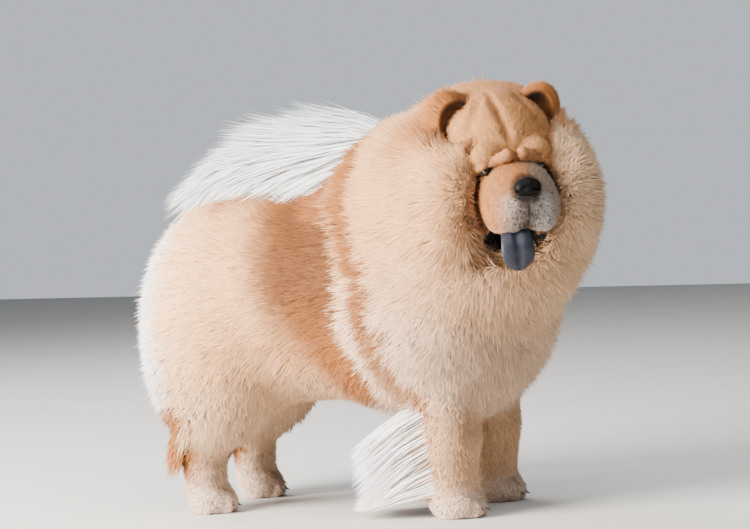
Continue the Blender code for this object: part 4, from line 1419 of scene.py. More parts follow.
@dataclass
class Coat:
    """The tufts of the whole coat, rooted in the skin and combed along its lie."""

    dog: Dog
    markings: Markings
    shift: Array
    finish: FurFinish
    points: Array
    faces: Array
    masks: dict[Where, Array] = field(default_factory=dict)
    areas: Array = field(default_factory=lambda: np.zeros(0))
    facing: Array = field(default_factory=lambda: np.zeros((0, 3)))

    def measure(self) -> None:
        """Find the area and facing of each triangle of the skin, and split them among the stretches."""
        corners = self.points[self.faces]
        cross = np.cross(corners[:, 1] - corners[:, 0], corners[:, 2] - corners[:, 0])
        self.areas = np.linalg.norm(cross, axis=1) / 2
        self.facing = unit(cross)
        self.masks = self.split(corners.mean(1))

    def split(self, centre: Array) -> dict[Where, Array]:
        """Which triangles of the skin belong to which stretch.

        Args:
            centre: The middle of each triangle.

        Returns:
            A mask over the triangles for each stretch.
        """
        dog, head = self.dog, self.dog.head
        local = head.axes(centre)
        forward, left, up = -centre[:, 1], centre[:, 0], centre[:, 2]
        trunk = dog.trunk(centre) + dog.skin_share * dog.trunk_depth(centre)
        legs = dog.legs(centre) + dog.skin_share * dog.leg_depth(centre)
        bonnet = head.bonnet(centre, local) + dog.skin_share * head.bonnet_depth(local)
        face = head.face(local) + dog.skin_share * head.face_depth
        ears = head.ear(local) < 0.004
        tail = (dog.tail(centre) < 0.004) & (up > 0.49)
        on_face = (face < 0.0015) & (local[:, 1] < 0.075) & ~ears
        bare = (self.markings.lips(local) > 0.15) | (self.markings.rims(local) > 0.5)
        near_nose = np.linalg.norm(local - head.nose_at, axis=1) < 0.0185
        free = ~(ears | tail | on_face | bare)
        on_legs = free & (legs < trunk) & (up < 0.17)
        on_head = free & ~on_legs & (bonnet < trunk)
        crown = on_head & (local[:, 2] > 0.060) & (local[:, 1] < 0.12)
        body = free & ~on_legs & ~on_head
        rest = body & (up >= 0.20)
        flanks = rest & (forward > -0.17) & (forward <= 0.06)
        mane = rest & (forward > 0.06)
        chest = mane & (forward > 0.20) & (up < 0.36)
        return {
            Where.FACE: on_face & ~bare & ~near_nose,
            Where.CROWN: crown,
            Where.RUFF_LEFT: on_head & ~crown & (local[:, 0] >= 0),
            Where.RUFF_RIGHT: on_head & ~crown & (local[:, 0] < 0),
            Where.MANE_LEFT: mane & ~chest & (left >= 0),
            Where.MANE_RIGHT: mane & ~chest & (left < 0),
            Where.CHEST: chest,
            Where.FLANK_LEFT: flanks & (left >= 0),
            Where.FLANK_RIGHT: flanks & (left < 0),
            Where.RUMP: rest & (forward <= -0.17),
            Where.BELLY: body & (up < 0.20),
            Where.LEGS_FRONT: on_legs & (forward > 0),
            Where.LEGS_HIND: on_legs & (forward <= 0),
            Where.EARS: ears,
        }

    def roots(self, mask: Array, density: float, seed: int) -> Array:
        """Places spread evenly over some triangles of the skin.

        Args:
            mask: Which triangles.
            density: How many to a square metre.
            seed: For the draws.

        Returns:
            The places.
        """
        draw = np.random.default_rng(seed)
        chosen = self.faces[mask]
        areas = self.areas[mask]
        count = int(areas.sum() * density)
        reached = np.cumsum(areas) / areas.sum()
        which = np.searchsorted(reached, (np.arange(count) + draw.random(count)) / count)
        corners = self.points[chosen[np.minimum(which, len(chosen) - 1)]]
        first, second = np.sqrt(draw.random(count)), draw.random(count)
        share = np.stack([1 - first, first * (1 - second), first * second], 1)
        return (corners * share[:, :, None]).sum(1)

    def flow(self, points: Array, normal: Array, ruffle: float, gather: float) -> Array:
        """The way the coat runs along its own surface.

        Args:
            points: Where to read it.
            normal: The surface's normal there.
            ruffle: How much it wanders.
            gather: How much it runs together in small locks.

        Returns:
            The directions.
        """
        run = self.dog.lie(points) + waves(points, 0.05, 31) * ruffle + waves(points, 0.018, 32) * gather
        return unit(run - normal * (run * normal).sum(1)[:, None])

    def tops(self, roots: Array, style: Style, draw: np.random.Generator) -> tuple[Array, Array]:
        """How far above or below the coat's outline each tuft ends.

        Args:
            roots: Where they grow.
            style: How they are cut.
            draw: For the draws.

        Returns:
            The level of each tip, and whether the tuft is a wisp that stands out.
        """
        count = len(roots)
        wisp = draw.random(count) < style.wisps
        end = (0.6 - draw.exponential(1.0, count)) * style.spread
        end += wisp * draw.uniform(0.3, 1.0, count) * style.wisp_reach
        deep = ramp(-self.dog.outline(roots), 0.004, 0.030)
        return end + waves(roots, 0.016, 17)[:, 0] * style.lumps * deep, wisp

    def fluff(self, roots: Array, style: Style, seed: int) -> Tufts:
        """Fine straight tufts that fill the coat up to its outline.

        Args:
            roots: Where they grow.
            style: How they are cut.
            seed: For the draws.

        Returns:
            The tufts.
        """
        draw = np.random.default_rng(seed)
        dog, count = self.dog, len(roots)
        normal = slope(dog.outline, roots)
        depth = np.maximum(-dog.outline(roots), style.least)
        end, wisp = self.tops(roots, style, draw)
        run = self.flow(roots, normal, style.ruffle, style.gather) + np.cross(normal, draw.normal(0, 0.16, (count, 3)))
        travel = depth * style.lean * draw.uniform(0.7, 1.3, count)
        tip = roots + run * travel[:, None] + normal * depth[:, None]
        tip += normal * np.clip(end - dog.outline(tip), -0.03, 0.03)[:, None]
        side = unit(np.cross(tip - roots, normal))
        up = unit(np.cross(side, tip - roots))
        width = style.fluff_width * draw.uniform(0.75, 1.25, count) * np.where(wisp, 0.7, 1.0)
        shading = unit(normal + draw.normal(0, 0.13, (count, 3)))
        return Tufts(
            np.stack([roots, tip], 1),
            np.stack([side, side], 1),
            np.stack([up, up], 1),
            np.stack([width, width * 0], 1),
            np.stack([shading, shading], 1),
            roots,
            self.markings.colour(roots),
        )

    def guards(self, roots: Array, style: Style, seed: int) -> Tufts:
        """Longer tufts, bent along the coat's lie, over the fluff.

        Args:
            roots: Where they grow.
            style: How they are cut.
            seed: For the draws.

        Returns:
            The tufts.
        """
        draw = np.random.default_rng(seed)
        dog, count = self.dog, len(roots)
        normal = slope(dog.outline, roots)
        start = dog.outline(roots)
        travel = np.maximum(-start, style.least) * style.lean * draw.uniform(0.9, 1.5, count)
        end, wisp = self.tops(roots, style, draw)
        turn = draw.normal(0, 0.16, count)
        here, reached = roots.copy(), 0.0
        middle, sides = [], []
        for along in (0.0, 0.5, 1.0):
            run = self.flow(here, normal, style.ruffle, style.gather)
            run = unit(run + np.cross(run, normal) * (turn * (1 + along))[:, None])
            here = here + run * ((along - reached) * travel)[:, None]
            reached = along
            if along > 0:
                level = start + (end - start) * along**0.8
                here = here + normal * np.clip(level - dog.outline(here), -0.03, 0.03)[:, None]
            middle.append(here)
            sides.append(unit(np.cross(run, normal)))
        width = style.width * draw.uniform(0.75, 1.25, count) * np.where(wisp, 0.6, 1.0)
        return self.dressed(roots, middle, sides, normal, width, (0.7, 1.0, 0.0), seed)

    def dressed(
        self,
        roots: Array,
        middle: list[Array],
        sides: list[Array],
        normal: Array,
        width: Array,
        taper: tuple[float, ...],
        seed: int,
    ) -> Tufts:
        """Give combed tufts their widths, shading normals and colours.

        Args:
            roots: Where they grow.
            middle: The middle of each ring and the tip.
            sides: The way across each ring.
            normal: The coat's own normal at each tuft.
            width: The width of each tuft.
            taper: The share of that width at each ring.
            seed: For the draws of the shading.

        Returns:
            The tufts.
        """
        draw = np.random.default_rng(seed + 1)
        lines, across = np.stack(middle, 1), np.stack(sides, 1)
        run = unit(lines[:, 1:] - lines[:, :-1])
        run = np.concatenate([run[:, :1], run], axis=1)
        up = unit(normal[:, None] - run * (normal[:, None] * run).sum(2, keepdims=True))
        shading = unit(normal[:, None] * 0.8 + up * 0.2 + draw.normal(0, 0.10, (len(roots), 1, 3)))
        return Tufts(
            lines, across, up, width[:, None] * np.array(taper)[None], shading, roots, self.markings.colour(roots), 0.30
        )

    def unwrap(self, where: Where) -> Callable[[Array], Array]:
        """How the skin under one stretch is laid out flat.

        Args:
            where: The stretch.

        Returns:
            A function from roots to places on the map.
        """
        dog, head = self.dog, self.dog.head

        def round_trunk(roots: Array) -> Array:
            """Wound off the barrel's long axis."""
            angle = np.arctan2(roots[:, 0], roots[:, 2] - 0.30) / (2 * math.pi) + 0.5
            return np.stack([angle, (roots[:, 1] + 0.36) / 0.72], 1)

        def round_head(roots: Array) -> Array:
            """Wound off the head's upright axis."""
            local = (roots - head.bonnet_centre) @ head.turn
            angle = np.arctan2(local[:, 0], -local[:, 1]) / (2 * math.pi) + 0.5
            return np.stack([angle, (local[:, 2] + 0.25) / 0.48], 1)

        def flat_face(roots: Array) -> Array:
            """Spread out round the muzzle, wider the further back."""
            local = head.axes(roots)
            ahead = np.maximum(local[:, 1] + 0.12, 0.0)
            run = unit(local[:, [0, 2]] + [0.0, 0.03]) * (0.06 + ahead * 2.0)[:, None]
            return (local[:, [0, 2]] * 1.5 + run) / 0.9 + 0.5

        def round_legs(roots: Array) -> Array:
            """Each leg wound off its own upright axis, side by side."""
            side = np.sign(roots[:, 0])
            foot = -(dog.fore_foot if where is Where.LEGS_FRONT else dog.hind_foot)
            angle = np.arctan2(roots[:, 0] - side * dog.foot_spread, roots[:, 1] - foot) / (4 * math.pi)
            return np.stack([angle + 0.5 + 0.24 * side, roots[:, 2] / 0.19], 1)

        def both_ears(roots: Array) -> Array:
            """Each ear wound off its own middle, side by side."""
            local = head.axes(roots)
            side = np.sign(local[:, 0])
            folded = both_sides(local) - head.ear_at
            angle = np.arctan2(folded[:, 0], folded[:, 1]) / (4 * math.pi)
            return np.stack([angle + 0.5 + 0.24 * side, (folded[:, 2] + 0.05) / 0.1], 1)

        if where is Where.FACE:
            return flat_face
        if where in (Where.CROWN, Where.RUFF_LEFT, Where.RUFF_RIGHT):
            return round_head
        if where in (Where.LEGS_FRONT, Where.LEGS_HIND):
            return round_legs
        return both_ears if where is Where.EARS else round_trunk

    def ears(self, roots: Array, style: Style, seed: int) -> Tufts:
        """The short fur of the ears, longest at the rims and behind.

        Args:
            roots: Where they grow.
            style: How they are cut.
            seed: For the draws.

        Returns:
            The tufts.
        """
        draw = np.random.default_rng(seed)
        dog, head, count = self.dog, self.dog.head, len(roots)
        local = head.axes(roots)
        normal = slope(lambda points: head.ear(head.axes(points)), roots)
        folded = both_sides(local)
        cup = ball(folded, head.ear_at + at(0.013, -0.002, 0.0), (0.013, 0.026, 0.035))
        inside = 1 - ramp(cup, -0.002, 0.006)
        longest = np.where(local[:, 0] < 0, 0.019, 0.010)
        length = (longest * (1 - inside) + 0.005 * inside) * draw.uniform(0.6, 1.25, count)
        run = dog.lie(roots) * 1.2 + normal * 0.45 + draw.normal(0, 0.12, (count, 3))
        tip = roots + unit(run) * length[:, None]
        side = unit(np.cross(tip - roots, normal))
        up = unit(np.cross(side, tip - roots))
        width = style.fluff_width * draw.uniform(0.75, 1.25, count)
        shading = unit(normal + draw.normal(0, 0.13, (count, 3)))
        return Tufts(
            np.stack([roots, tip], 1),
            np.stack([side, side], 1),
            np.stack([up, up], 1),
            np.stack([width, width * 0], 1),
            np.stack([shading, shading], 1),
            roots,
            self.markings.colour(roots),
        )

    def feathers(self, front: bool, density: float, seed: int) -> Tufts:
        """The long tufts behind two legs.

        Args:
            front: Whether they are the forelegs.
            density: How many grow to a square metre.
            seed: For the draws.

        Returns:
            The tufts.
        """
        draw = np.random.default_rng(seed)
        where = Where.LEGS_FRONT if front else Where.LEGS_HIND
        middle = self.points[self.faces].mean(1)
        low, high = (0.040, 0.19) if front else (0.095, 0.21)
        behind = (self.facing[:, 1] > 0.10) & (middle[:, 2] > low) & (middle[:, 2] < high)
        roots = self.roots(self.masks[where] & behind, density, seed)
        count = len(roots)
        normal = slope(self.dog.outline, roots)
        length = (0.122 if front else 0.056) * draw.uniform(0.40, 1.10, count)
        fall = ramp(roots[:, 2], 0.02, 0.11) if front else np.ones(count)
        out = normal * 0.6 + np.stack([draw.normal(0, 0.15, count), np.ones(count), -0.12 - 0.28 * fall], 1)
        down = np.stack([draw.normal(0, 0.08, count), np.full(count, 1.3 if front else 0.45), -0.25 - 0.75 * fall], 1)
        down[:, 1] += draw.normal(0, 0.10, count)
        outward = unit(np.stack([np.sign(roots[:, 0]) * 0.8, np.full(count, 0.6), np.zeros(count)], 1) + normal * 0.5)
        tufts = self.streamed(roots, unit(out), unit(down), length, outward, 0.0019, seed)
        if front:
            pale = 0.20 + 0.65 * ramp(length, 0.070, 0.110)
            tufts.colours = mix(tufts.colours, self.markings.tones.white, pale)
            tufts.root_shade = 0.88
        return tufts

    def streamed(
        self, roots: Array, start: Array, end: Array, length: Array, outward: Array, width: float, seed: int
    ) -> Tufts:
        """Long tufts that leave their roots one way and bend over to another.

        Args:
            roots: Where they grow.
            start: Which way each leaves.
            end: Which way each ends.
            length: How long each is.
            outward: The way that each faces out of the coat.
            width: Their width.
            seed: For the draws.

        Returns:
            The tufts.
        """
        draw = np.random.default_rng(seed)
        here, reached = roots.copy(), 0.0
        middle, sides = [], []
        for along in (0.0, 0.45, 1.0):
            flow = unit(start * (1 - along) + end * along)
            here = here + flow * ((along - reached) * length)[:, None]
            here[:, 2] = np.maximum(here[:, 2], 0.003)
            reached = along
            middle.append(here)
            sides.append(unit(np.cross(flow, outward)))
        widths = width * draw.uniform(0.7, 1.3, len(roots))
        return self.dressed(roots, middle, sides, outward, widths, (0.8, 1.0, 0.0), seed)

    def plume(self, count: int, width: float, seed: int) -> Tufts:
        """The tufts of the tail, which stand out from it and stream back over the rump.

        Args:
            count: How many there are.
            width: Their width.
            seed: For the draws.

        Returns:
            The tufts.
        """
        draw = np.random.default_rng(seed)
        stops = np.array([*self.dog.tail_stops[1:], at(0.095, 0, 0.568)])
        radii = np.array([*self.dog.tail_radii[1:-1], 0.026, 0.026])
        share = draw.random(count) ** 0.85 * (len(stops) - 1)
        stop = np.minimum(share.astype(int), len(stops) - 2)
        part = (share - stop)[:, None]
        spot = stops[stop] * (1 - part) + stops[stop + 1] * part
        run = unit(stops[stop + 1] - stops[stop])
        across = np.array([1.0, 0, 0])
        above = unit(np.cross(across, run))
        above *= np.sign(above[:, 2] + above[:, 1])[:, None]
        turn = draw.uniform(-2.7, 2.7, count)
        out = across * np.sin(turn)[:, None] + above * np.cos(turn)[:, None]
        radius = np.interp(share, np.arange(len(stops)), radii) - 0.006
        roots = spot + out * radius[:, None]
        base = ramp(spot[:, 1], 0.02, 0.20)
        droop = 0.02 + 0.66 * base + 0.45 * ramp(np.abs(turn), 0.8, 2.0)
        back = np.stack([np.zeros(count), np.ones(count), -droop], 1) + out * draw.uniform(0.0, 0.22, (count, 1))
        back = unit(back + draw.normal(0, 0.08, (count, 3)))
        start = unit(out * draw.uniform(0.1, 0.6, (count, 1)) + back * 0.85)
        length = 0.145 * draw.uniform(0.35, 1.12, count) * (1 - 0.42 * base)
        tufts = self.streamed(roots, start, back, length, unit(out + [0, 0, 0.4]), width, seed)
        tufts.colours = np.tile(self.markings.tones.white, (count, 1))
        tufts.root_shade = 0.88
        return tufts

    def build(self) -> Iterable[bpy.types.Object]:
        """Make every piece of the coat.

        Yields:
            Each piece, dressed and riding with the body.
        """
        material = self.finish.material()
        self.measure()
        for number, (where, mask) in enumerate(self.masks.items()):
            style, seed = STYLES[where], 100 + 10 * number
            unwrap = self.unwrap(where)
            make = self.ears if where is Where.EARS else self.fluff
            parts = [make(self.roots(mask, style.fluff, seed), style, seed + 1).blades(unwrap, seed + 2)]
            if style.guards:
                tufts = self.guards(self.roots(mask, style.guards, seed + 3), style, seed + 4)
                parts.append(tufts.blades(unwrap, seed + 5))
            piece = Blades.joined(parts).piece(where.value, self.shift)
            yield self.finished(piece, material)
        for name, front, density in (("coat_feathers_front", True, 350000), ("coat_feathers_hind", False, 210000)):
            tufts = self.feathers(front, density, 300 + front)
            unwrap = self.unwrap(Where.LEGS_FRONT if front else Where.LEGS_HIND)
            piece = Blades.joined([tufts.blades(unwrap, 310 + front)]).piece(name, self.shift)
            yield self.finished(piece, material)

        def round_tail(roots: Array) -> Array:
            """Wound off the tail's middle line."""
            angle = np.arctan2(roots[:, 0], roots[:, 2] - 0.53) / (2 * math.pi) + 0.5
            return np.stack([angle, (roots[:, 1] + 0.06) / 0.34], 1)

        for number, name in enumerate(("coat_plume", "coat_plume_under")):
            count = 18500 - 12000 * number
            tufts = self.plume(count, 0.0022 + 0.0012 * number, 401 + number).blades(round_tail, 411 + number)
            yield self.finished(Blades.joined([tufts]).piece(name, self.shift), material)

    def finished(self, piece: bpy.types.Object, material: bpy.types.Material) -> bpy.types.Object:
        """Dress a piece of the coat and let it ride with the body.

        Args:
            piece: The piece.
            material: Its material.

        Returns:
            The piece.
        """
        piece.data.materials.append(material)
        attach(piece, "root")
        return piece


@dataclass
class Skin:
    """One skin over the whole dog, with the folds of the face, the ears and the tail."""

    dog: Dog
    markings: Markings
    shift: Array
    finish: FurFinish
    step: float = 0.0025
    triangles: int = 150000

    def build(self) -> bpy.types.Object:
        """Make the skin.

        Returns:
            The piece, which stands for every node of flesh.
        """
        low, high = np.array([-0.25, -0.44, -0.02]), np.array([0.25, 0.38, 0.72])
        points, quads = grid_surface(self.dog.skin, low, high, self.step)
        piece = mesh_piece("skin", points, quads)
        keep_largest(piece)
        self.thin(piece)
        points, _ = triangles_of(piece.data)
        points[:, 2] = np.maximum(points[:, 2], 0.0008)
        # painted shade: the skin, deep under the coat, a little darker than the tufts
        paint(piece, self.markings.colour(points) * 0.82)
        strand = piece.data.attributes.new(STRAND, "FLOAT_VECTOR", "POINT")
        strand.data.foreach_set("vector", (points * 60).astype(np.float32).ravel())
        piece.data.vertices.foreach_set("co", (points + self.shift).astype(np.float32).ravel())
        piece.data.update()
        piece.data.materials.append(self.finish.material())
        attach(piece, "root")
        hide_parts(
            "head", "neck", "torso", "tail", "leg_front_left", "leg_front_right",
            "leg_hind_left", "leg_hind_right", "ear_left", "ear_right",
        )
        return piece

    def thin(self, piece: bpy.types.Object) -> None:
        """Thin the skin's mesh, least on the face.

        Args:
            piece: The skin.
        """
        points, faces = triangles_of(piece.data)
        local = self.dog.head.axes(points)
        away = np.linalg.norm(local - self.dog.head.muzzle_at, axis=1)
        group = piece.vertex_groups.new(name="thin")
        group.add(np.nonzero(away > 0.12)[0].tolist(), 1.0, "REPLACE")
        thin = piece.modifiers.new("thin", "DECIMATE")
        thin.ratio = min(1.0, self.triangles / len(faces))
        thin.vertex_group = "thin"
        thin.vertex_group_factor = 1.0
        apply_all(piece)
        keep_largest(piece)


@dataclass
class Eye:
    """One eyeball: a dark brown iris and pupil under a clear, bulging cornea."""

    dog: Dog
    shift: Array
    left: bool
    rings: int = 40
    segments: int = 48
    iris: float = 0.52
    pupil: float = 0.22
    bulge: float = 0.0012

    def build(self) -> bpy.types.Object:
        """Make the eye.

        Returns:
            The piece.
        """
        head = self.dog.head
        sign = 1.0 if self.left else -1.0
        shell = bmesh.new()
        bmesh.ops.create_uvsphere(
            shell, u_segments=self.segments, v_segments=self.rings, radius=head.eye_radius
        )
        name = "eye_ball_" + ("left" if self.left else "right")
        mesh = bpy.data.meshes.new(name)
        shell.to_mesh(mesh)
        shell.free()
        points, _ = triangles_of(mesh)
        ahead = points[:, 2] / head.eye_radius
        round_it = np.sqrt(np.maximum(1 - ahead**2, 0)) + (ahead < 0) * 2
        points[:, 2] += self.bulge * (1 - ramp(round_it, 0.25, 0.75))
        gaze = Matrix.Rotation(math.radians(90), 3, "X") @ Matrix.Rotation(math.radians(6) * sign, 3, "Y")
        points = points @ np.array(gaze).T
        centre = head.eye_at * np.array([sign, 1.0, 1.0])
        points = head.place(points + centre) + self.shift
        mesh.vertices.foreach_set("co", points.astype(np.float32).ravel())
        mesh.polygons.foreach_set("use_smooth", np.ones(len(mesh.polygons), bool))
        mesh.update()
        piece = bpy.data.objects.new(name, mesh)
        bpy.context.scene.collection.objects.link(piece)
        paint(piece, self.tones(round_it, points))
        piece.data.materials.append(self.material())
        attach(piece, "root")
        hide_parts("eye_left" if self.left else "eye_right")
        return piece

    def tones(self, round_it: Array, points: Array) -> Array:
        """The colours of the white, iris and pupil.

        Args:
            round_it: How far each point lies from the gaze, as a share of the radius.
            points: The points, for the flecks of the iris.

        Returns:
            The colour at each point.
        """
        white, brown = srgb(60, 42, 34), srgb(40, 20, 10)
        colour = np.tile(white, (len(points), 1))
        fleck = 0.8 + 0.3 * np.sin(points[:, 0] * 4000) * np.sin(points[:, 2] * 3500)
        colour = mix(colour, srgb(30, 16, 10), 1 - ramp(round_it, self.iris, self.iris + 0.10))
        colour = mix(colour, brown * fleck[:, None], 1 - ramp(round_it, self.iris - 0.14, self.iris - 0.04))
        return mix(colour, srgb(6, 5, 5), 1 - ramp(round_it, self.pupil, self.pupil + 0.05))

    def material(self) -> bpy.types.Material:
        """The wet eye, with its colours in the paint.

        Returns:
            The material.
        """
        made, shader, tree = principled("eye_finish", (0.02, 0.01, 0.01), 0.12)
        shader.inputs["Coat Weight"].default_value = 0.35
        shader.inputs["Coat Roughness"].default_value = 0.02
        paint_node = tree.nodes.new("ShaderNodeAttribute")
        paint_node.attribute_name = COLOUR
        tree.links.new(paint_node.outputs["Color"], shader.inputs["Base Color"])
        add_bump(tree, shader, 700.0, 0.03, 0.0004)
        return made


@dataclass
class Nose:
    """The black nose pad with its wings, slits and nostrils."""

    dog: Dog
    shift: Array
    step: float = 0.0007

    def shape(self, points: Array) -> Array:
        """The nose as a field.

        Args:
            points: Where to read it, in the dog's axes.

        Returns:
            The distance, negative inside.
        """
        head = self.dog.head
        local = head.axes(points)
        folded = both_sides(local)
        pad = ball(local, head.nose_at, (0.0125, 0.017, 0.0135))
        wing = ball(folded, head.nose_at + at(0.001, 0.011, -0.001), (0.011, 0.009, 0.010))
        nose = blend(pad, wing, 0.004)
        inner, outer = head.nose_at + at(0.014, 0.006, -0.001), head.nose_at + at(0.006, 0.016, -0.004)
        nose = carve(nose, limb(folded, inner, outer, 0.0032, 0.0022), 0.002)
        cleft = limb(local, head.nose_at + at(0.016, 0, 0.004), head.nose_at + at(0.010, 0, -0.016), 0.0006, 0.0012)
        return carve(nose, cleft, 0.0012)

    def build(self) -> bpy.types.Object:
        """Make the nose.

        Returns:
            The piece.
        """
        centre = self.dog.head.place(self.dog.head.nose_at)
        points, quads = grid_surface(self.shape, centre - 0.030, centre + 0.030, self.step)
        piece = mesh_piece("nose_pad", points + self.shift, quads)
        keep_largest(piece)
        finish = WetFinish(
            "nose_finish", srgb(4, 4, 5), srgb(14, 13, 16), 0.50, 900.0, 0.45, 0.0004, cells=True, specular=0.10
        )
        piece.data.materials.append(finish.material())
        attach(piece, "root")
        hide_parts("nose")
        return piece


@dataclass
class Tongue:
    """The blue-black tongue, laid over the lower lip, with the groove along its middle."""

    dog: Dog
    shift: Array
    sides: int = 40
    runs: int = 48
    groove: float = 0.0034

    @property
    def line(self) -> list[tuple[Array, float, float]]:
        """Its middle line from root to tip, with its half width and half thickness."""
        return [
            (at(0.006, -0.006, -0.090), 0.018, 0.0050),
            (at(0.028, -0.013, -0.085), 0.020, 0.0055),
            (at(0.048, -0.018, -0.083), 0.021, 0.0058),
            (at(0.061, -0.020, -0.087), 0.022, 0.0060),
            (at(0.069, -0.021, -0.097), 0.024, 0.0060),
            (at(0.072, -0.021, -0.108), 0.025, 0.0060),
            (at(0.072, -0.021, -0.119), 0.024, 0.0058),
            (at(0.071, -0.021, -0.128), 0.019, 0.0052),
            (at(0.069, -0.021, -0.135), 0.011, 0.0036),
            (at(0.0685, -0.021, -0.137), 0.004, 0.0020),
        ]

    def build(self) -> bpy.types.Object:
        """Make the tongue.

        Returns:
            The piece.
        """
        head = self.dog.head
        stops = np.array([spot for spot, _, _ in self.line])
        reached = np.append(0, np.cumsum(np.linalg.norm(np.diff(stops, axis=0), axis=1)))
        places = np.linspace(0, reached[-1], self.runs)
        centre = np.stack([np.interp(places, reached, stops[:, k]) for k in range(3)], 1)
        wide = np.interp(places, reached, [w for _, w, _ in self.line])
        thick = np.interp(places, reached, [t for _, _, t in self.line])
        for _ in range(2):
            for values in (centre, wide, thick):
                values[1:-1] = values[1:-1] * 0.5 + (values[:-2] + values[2:]) * 0.25
        run = unit(np.gradient(centre, axis=0))
        up = np.cross(run, np.array([1.0, 0, 0]))
        up *= np.sign(up[:, 2] - up[:, 1])[:, None]
        angle = 2 * math.pi * np.arange(self.sides) / self.sides
        side, rise = np.cos(angle), np.sin(angle)
        dip = self.groove * np.exp(-((side / 0.22) ** 2)) * (rise > 0) * (0.4 + 0.6 * (rise > 0))
        ripple = 0.0006 * np.sin(places * 260)[:, None] * (1 - side[None] ** 2)
        height = thick[:, None] * rise[None] - dip[None] + ripple * (rise > 0)
        points = centre[:, None] + wide[:, None, None] * side[None, :, None] * np.array([1.0, 0, 0])
        points = points + up[:, None] * height[:, :, None]
        ends = centre[[0, -1]]
        points = np.concatenate([points.reshape(-1, 3), ends])
        faces = []
        for k in range(self.runs - 1):
            for step in range(self.sides):
                after = (step + 1) % self.sides
                low, high = k * self.sides, (k + 1) * self.sides
                faces.append((low + step, low + after, high + after))
                faces.append((low + step, high + after, high + step))
        last = (self.runs - 1) * self.sides
        for step in range(self.sides):
            after = (step + 1) % self.sides
            faces.append((after, step, len(points) - 2))
            faces.append((last + step, last + after, len(points) - 1))
        piece = mesh_piece("tongue_flap", head.place(points) + self.shift, np.array(faces))
        keep_largest(piece)
        finish = WetFinish(
            "tongue_finish", srgb(22, 25, 34), srgb(44, 48, 62), 0.45, 1100.0, 0.35, 0.0004, coat=0.05, specular=0.35
        )
        piece.data.materials.append(finish.material())
        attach(piece, "root")
        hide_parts("tongue")
        return piece


def node_input(group: bpy.types.NodeTree, name: str, kind: str) -> str:
    """Add a named input to a node tree.

    Args:
        group: The tree.
        name: The input's name.
        kind: Its socket's kind.

    Returns:
        The socket's identifier.
    """
    return group.interface.new_socket(name, in_out="INPUT", socket_type=kind).identifier


